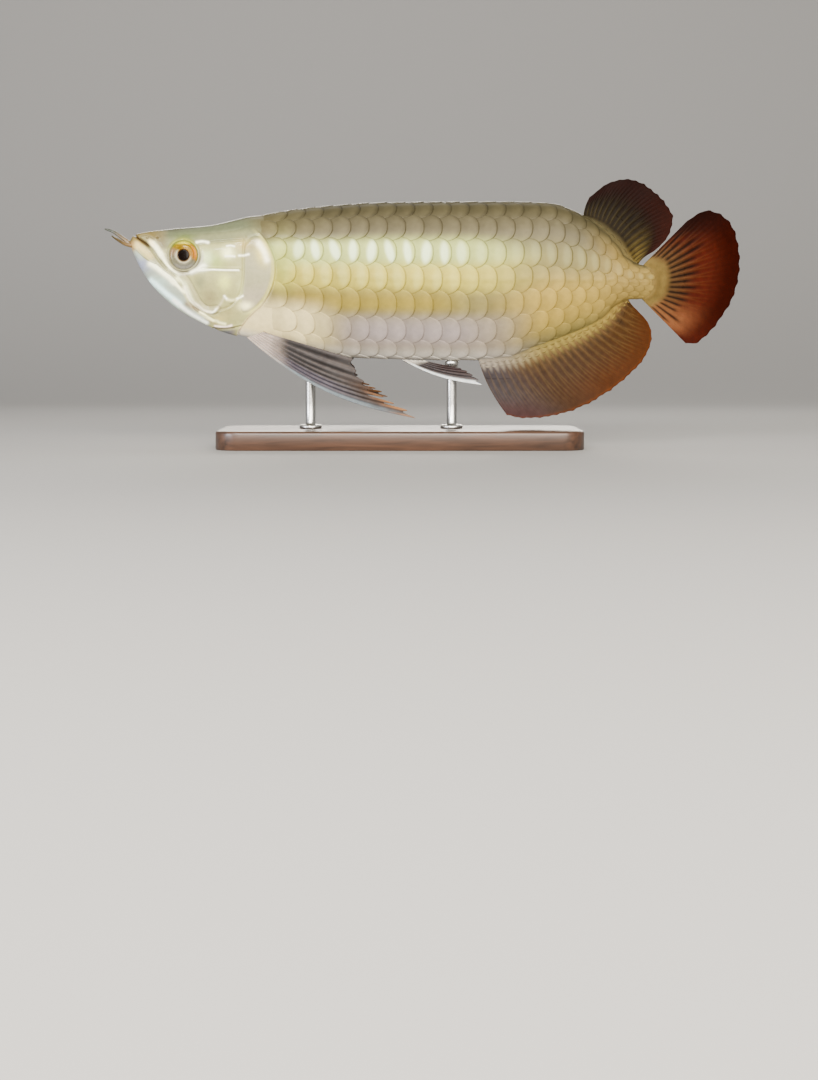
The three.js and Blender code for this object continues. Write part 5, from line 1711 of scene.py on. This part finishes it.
def make_base():
    """Rings of the same outline, drawn in at the edges along a quarter round."""
    rings = [(0.6, 0.0), (0.0, 0.6)]
    for angle in np.linspace(0, np.pi / 2, 9):
        inset, lower = BASE_BEVEL * (1 - math.cos(angle)), BASE_BEVEL * (1 - math.sin(angle))
        rings.append((inset, BASE_HEIGHT - lower))
    layers = []
    for inset, z in rings:
        line = rounded_outline(BASE_LENGTH - 2 * inset, BASE_WIDTH - 2 * inset, BASE_CORNER - inset)
        layers.append(np.column_stack([line, np.full(len(line), z)]))
    ends = np.array([[0, 0, 0.0], [0, 0, BASE_HEIGHT]])
    return round_piece("walnut_base", np.array(layers), ends, lambda points: fill(points[:, 0], WALNUT_TONE))


def make_rod(name, x):
    """A foot on the base, a straight rod, and a cup that touches the belly."""
    top = float(belly(x)) - 0.2
    r, base = ROD_RADIUS, BASE_HEIGHT
    profile = [
        (8.6, base + 0.05), (9.0, base + 0.4), (9.0, base + 2.0), (8.6, base + 2.7), (7.8, base + 3.0),
        (5.4, base + 3.1), (4.6, base + 3.5), (r, base + 4.4), (r, base + 20), (r, top - 12),
        (r, top - 7), (r + 0.3, top - 5.4), (r + 1.2, top - 3.4), (r + 1.6, top - 2),
        (r + 1.5, top - 0.6), (r + 1.0, top + 0.4),
    ]
    foot = np.array([x, 0.0, 0.0])
    return turned(name, profile, foot, (0, 0, 1.0), 48, lambda off: fill(off[..., 0], STEEL_TONE))


base = make_base()
rods = {"stand_rod_front": make_rod("steel_rod_front", ROD_X[0]),
        "stand_rod_rear": make_rod("steel_rod_rear", ROD_X[1])}

# %% [markdown]
# ### Walnut and steel
#
# Walnut is a dark wood whose grain lines lie two or three millimetres apart; oil leaves it satin.
# The rods are stainless steel, brushed along their length, which drags fine scratches up and down.

# %% Stand materials
GRAIN_WIDTH_MM = 2.6


def stretched(tree, scale):
    """The object's coordinates, drawn out along the ways whose scale is small."""
    inputs = {"Vector": object_place(tree), "Scale": scale}
    return add(tree, "ShaderNodeMapping", inputs).outputs["Vector"]


def walnut_material():
    material, tree, surface = new_material("oiled_walnut", IOR=1.47, Coat_Weight=0.25, Coat_Roughness=0.22)
    lengthwise = stretched(tree, (0.05, 1.0, 0.6))
    grain = noise(tree, lengthwise, 1000 / GRAIN_WIDTH_MM, 5.0, Distortion=0.8)
    blend = maths(tree, "MULTIPLY_ADD", noise(tree, lengthwise, 60.0, 6.0), 0.55, grain)
    ramp = add(tree, "ShaderNodeValToRGB", {"Fac": blend})
    for stop, position, code in zip(ramp.color_ramp.elements, (0.5, 1.0), ("#1a1009", "#442b1b")):
        stop.position = position
        stop.color = hue(code)
    tree.links.new(ramp.outputs["Color"], surface.inputs["Base Color"])
    uneven_gloss(tree, surface, grain, 0.34, 0.52)
    fine_relief(tree, surface, grain, 0.15, 0.4)
    return material


def steel_material():
    material, tree, surface = new_material("brushed_stainless_steel", Metallic=1.0, Anisotropic=0.4)
    surface.inputs["Base Color"].default_value = hue("#adaca8")
    brush = noise(tree, stretched(tree, (1.0, 1.0, 0.02)), 3000.0, 2.0)
    uneven_gloss(tree, surface, brush, 0.2, 0.38)
    fine_relief(tree, surface, brush, 0.06, 0.2)
    return material


WALNUT, STEEL = walnut_material(), steel_material()
report(WALNUT, STEEL)

# %% [markdown]
# ## Putting it together
#
# Every piece gets its material, rides on the one body, and says which solids it stands for and
# which finish it shows.

# %% Riding, replacing, finishing
def dress(piece, material, slot, *nodes):
    """Gives a piece its finish and its place in the frame."""
    piece.data.materials.append(material)
    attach(piece, "root")
    if nodes:
        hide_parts(*nodes)
    print(piece.name, "shows the finish", slot, "and stands for", ", ".join(nodes) or "no solid")


dress(skin, SKIN, "skull", "head", "lower_jaw", "maxilla_left", "maxilla_right", "gill_cover_left",
      "gill_cover_right", "torso", "tail_stem")
for piece in scales:
    dress(piece, SCALE, "scales")
for node, piece in (("dorsal_fin", dorsal_fin), ("anal_fin", anal_fin), ("tail_fin", tail_fin)):
    dress(piece, RED_FIN, "red_fin", node)
for piece in flesh:
    dress(piece, RED_FIN, "red_fin")
for piece in sheaths:
    dress(piece, SCALE, "scales")
for node, piece in paired_fins.items():
    dress(piece, PALE_FIN, "pale_fin", node)
for node, piece in eyes.items():
    dress(piece, EYE, "eye", node)
for node, piece in barbels.items():
    dress(piece, FEELER, "barbel", node)
dress(base, WALNUT, "stand_wood", "stand_base")
for node, piece in rods.items():
    dress(piece, STEEL, "stand_steel", node)

# %% [markdown]
# ## Floor
#
# A grey sweep of paper runs under the stand and up behind it in one soft bend, so that no corner
# shows. It looks pale in the light.

# %% Paper sweep
FLOOR_FRONT, FLOOR_BACK, SWEEP_RADIUS, SWEEP_TOP, SWEEP_SIDE = -3.2, 1.0, 0.9, 3.2, 3.5


def paper_sweep():
    """Floor, quarter round and wall in one sheet. Its lengths are in metres."""
    depth = [(FLOOR_FRONT, 0), (FLOOR_BACK, 0)]
    for angle in np.linspace(0, np.pi / 2, 14)[1:]:
        forward, up = SWEEP_RADIUS * math.sin(angle), SWEEP_RADIUS * (1 - math.cos(angle))
        depth.append((FLOOR_BACK + forward, up))
    depth.append((FLOOR_BACK + SWEEP_RADIUS, SWEEP_TOP))
    points = np.array([[(x, y, z) for x in (-SWEEP_SIDE, SWEEP_SIDE)] for y, z in depth]) / MM
    sweep = new_piece("paper_sweep", points, [grid_faces(len(depth), 2)])
    material, _, surface = new_material("matt_grey_paper", Roughness=0.85, IOR=1.45)
    surface.inputs["Base Color"].default_value = hue("#898784")
    sweep.data.materials.append(material)


paper_sweep()

# %% [markdown]
# ## Light
#
# One large soft lamp stands high in front. A small one beside it adds a spark to wet edges, and a
# third fills in from the head's side. Behind the fish, a dim one lights the back from above, and
# another reaches the far flank. Its narrow cone leaves no hard edge of light on the paper. A weak
# even sky softens all shadows.

# %% Lamps and sky
def soft_light(name, place, target, width, height, power, code, cone=180):
    """A lamp like a soft box, in metres and watts, that faces its target."""
    data = bpy.data.lights.new(name, "AREA")
    data.shape, data.size, data.size_y = "RECTANGLE", width, height
    data.energy = power
    data.color = linear(code)
    data.spread = np.radians(cone)
    lamp = bpy.data.objects.new(name, data)
    bpy.context.scene.collection.objects.link(lamp)
    lamp.location = place
    way = np.array(target) - np.array(place)
    lamp.rotation_euler = Vector(way).to_track_quat("-Z", "Y").to_euler()


soft_light("key", (0.35, -1.9, 0.62), (0, 0, 0.13), 2.1, 1.1, 150, "#fff8ec")
soft_light("spark", (-0.55, -1.5, 0.8), (-0.08, 0, 0.15), 0.25, 0.25, 20, "#ffffff")
soft_light("fill", (-1.6, -1.2, 0.3), (-0.05, 0, 0.12), 0.9, 0.6, 55, "#f4f6ff")
soft_light("top", (0.2, 0.6, 1.6), (0, 0, 0.15), 1.4, 0.6, 10, "#ffffff")
soft_light("back", (0.1, 1.7, 0.55), (0, 0, 0.13), 1.6, 0.7, 7, "#fff8ec", cone=70)

world = bpy.data.worlds.new("studio")
world.use_nodes = True
bpy.context.scene.world = world
sky = world.node_tree.nodes["Background"]
sky.inputs["Color"].default_value = hue("#e8ebee")
sky.inputs["Strength"].default_value = 0.45
print("lamps:", len(bpy.data.lights), "with", sum(lamp.energy for lamp in bpy.data.lights), "watts in all")
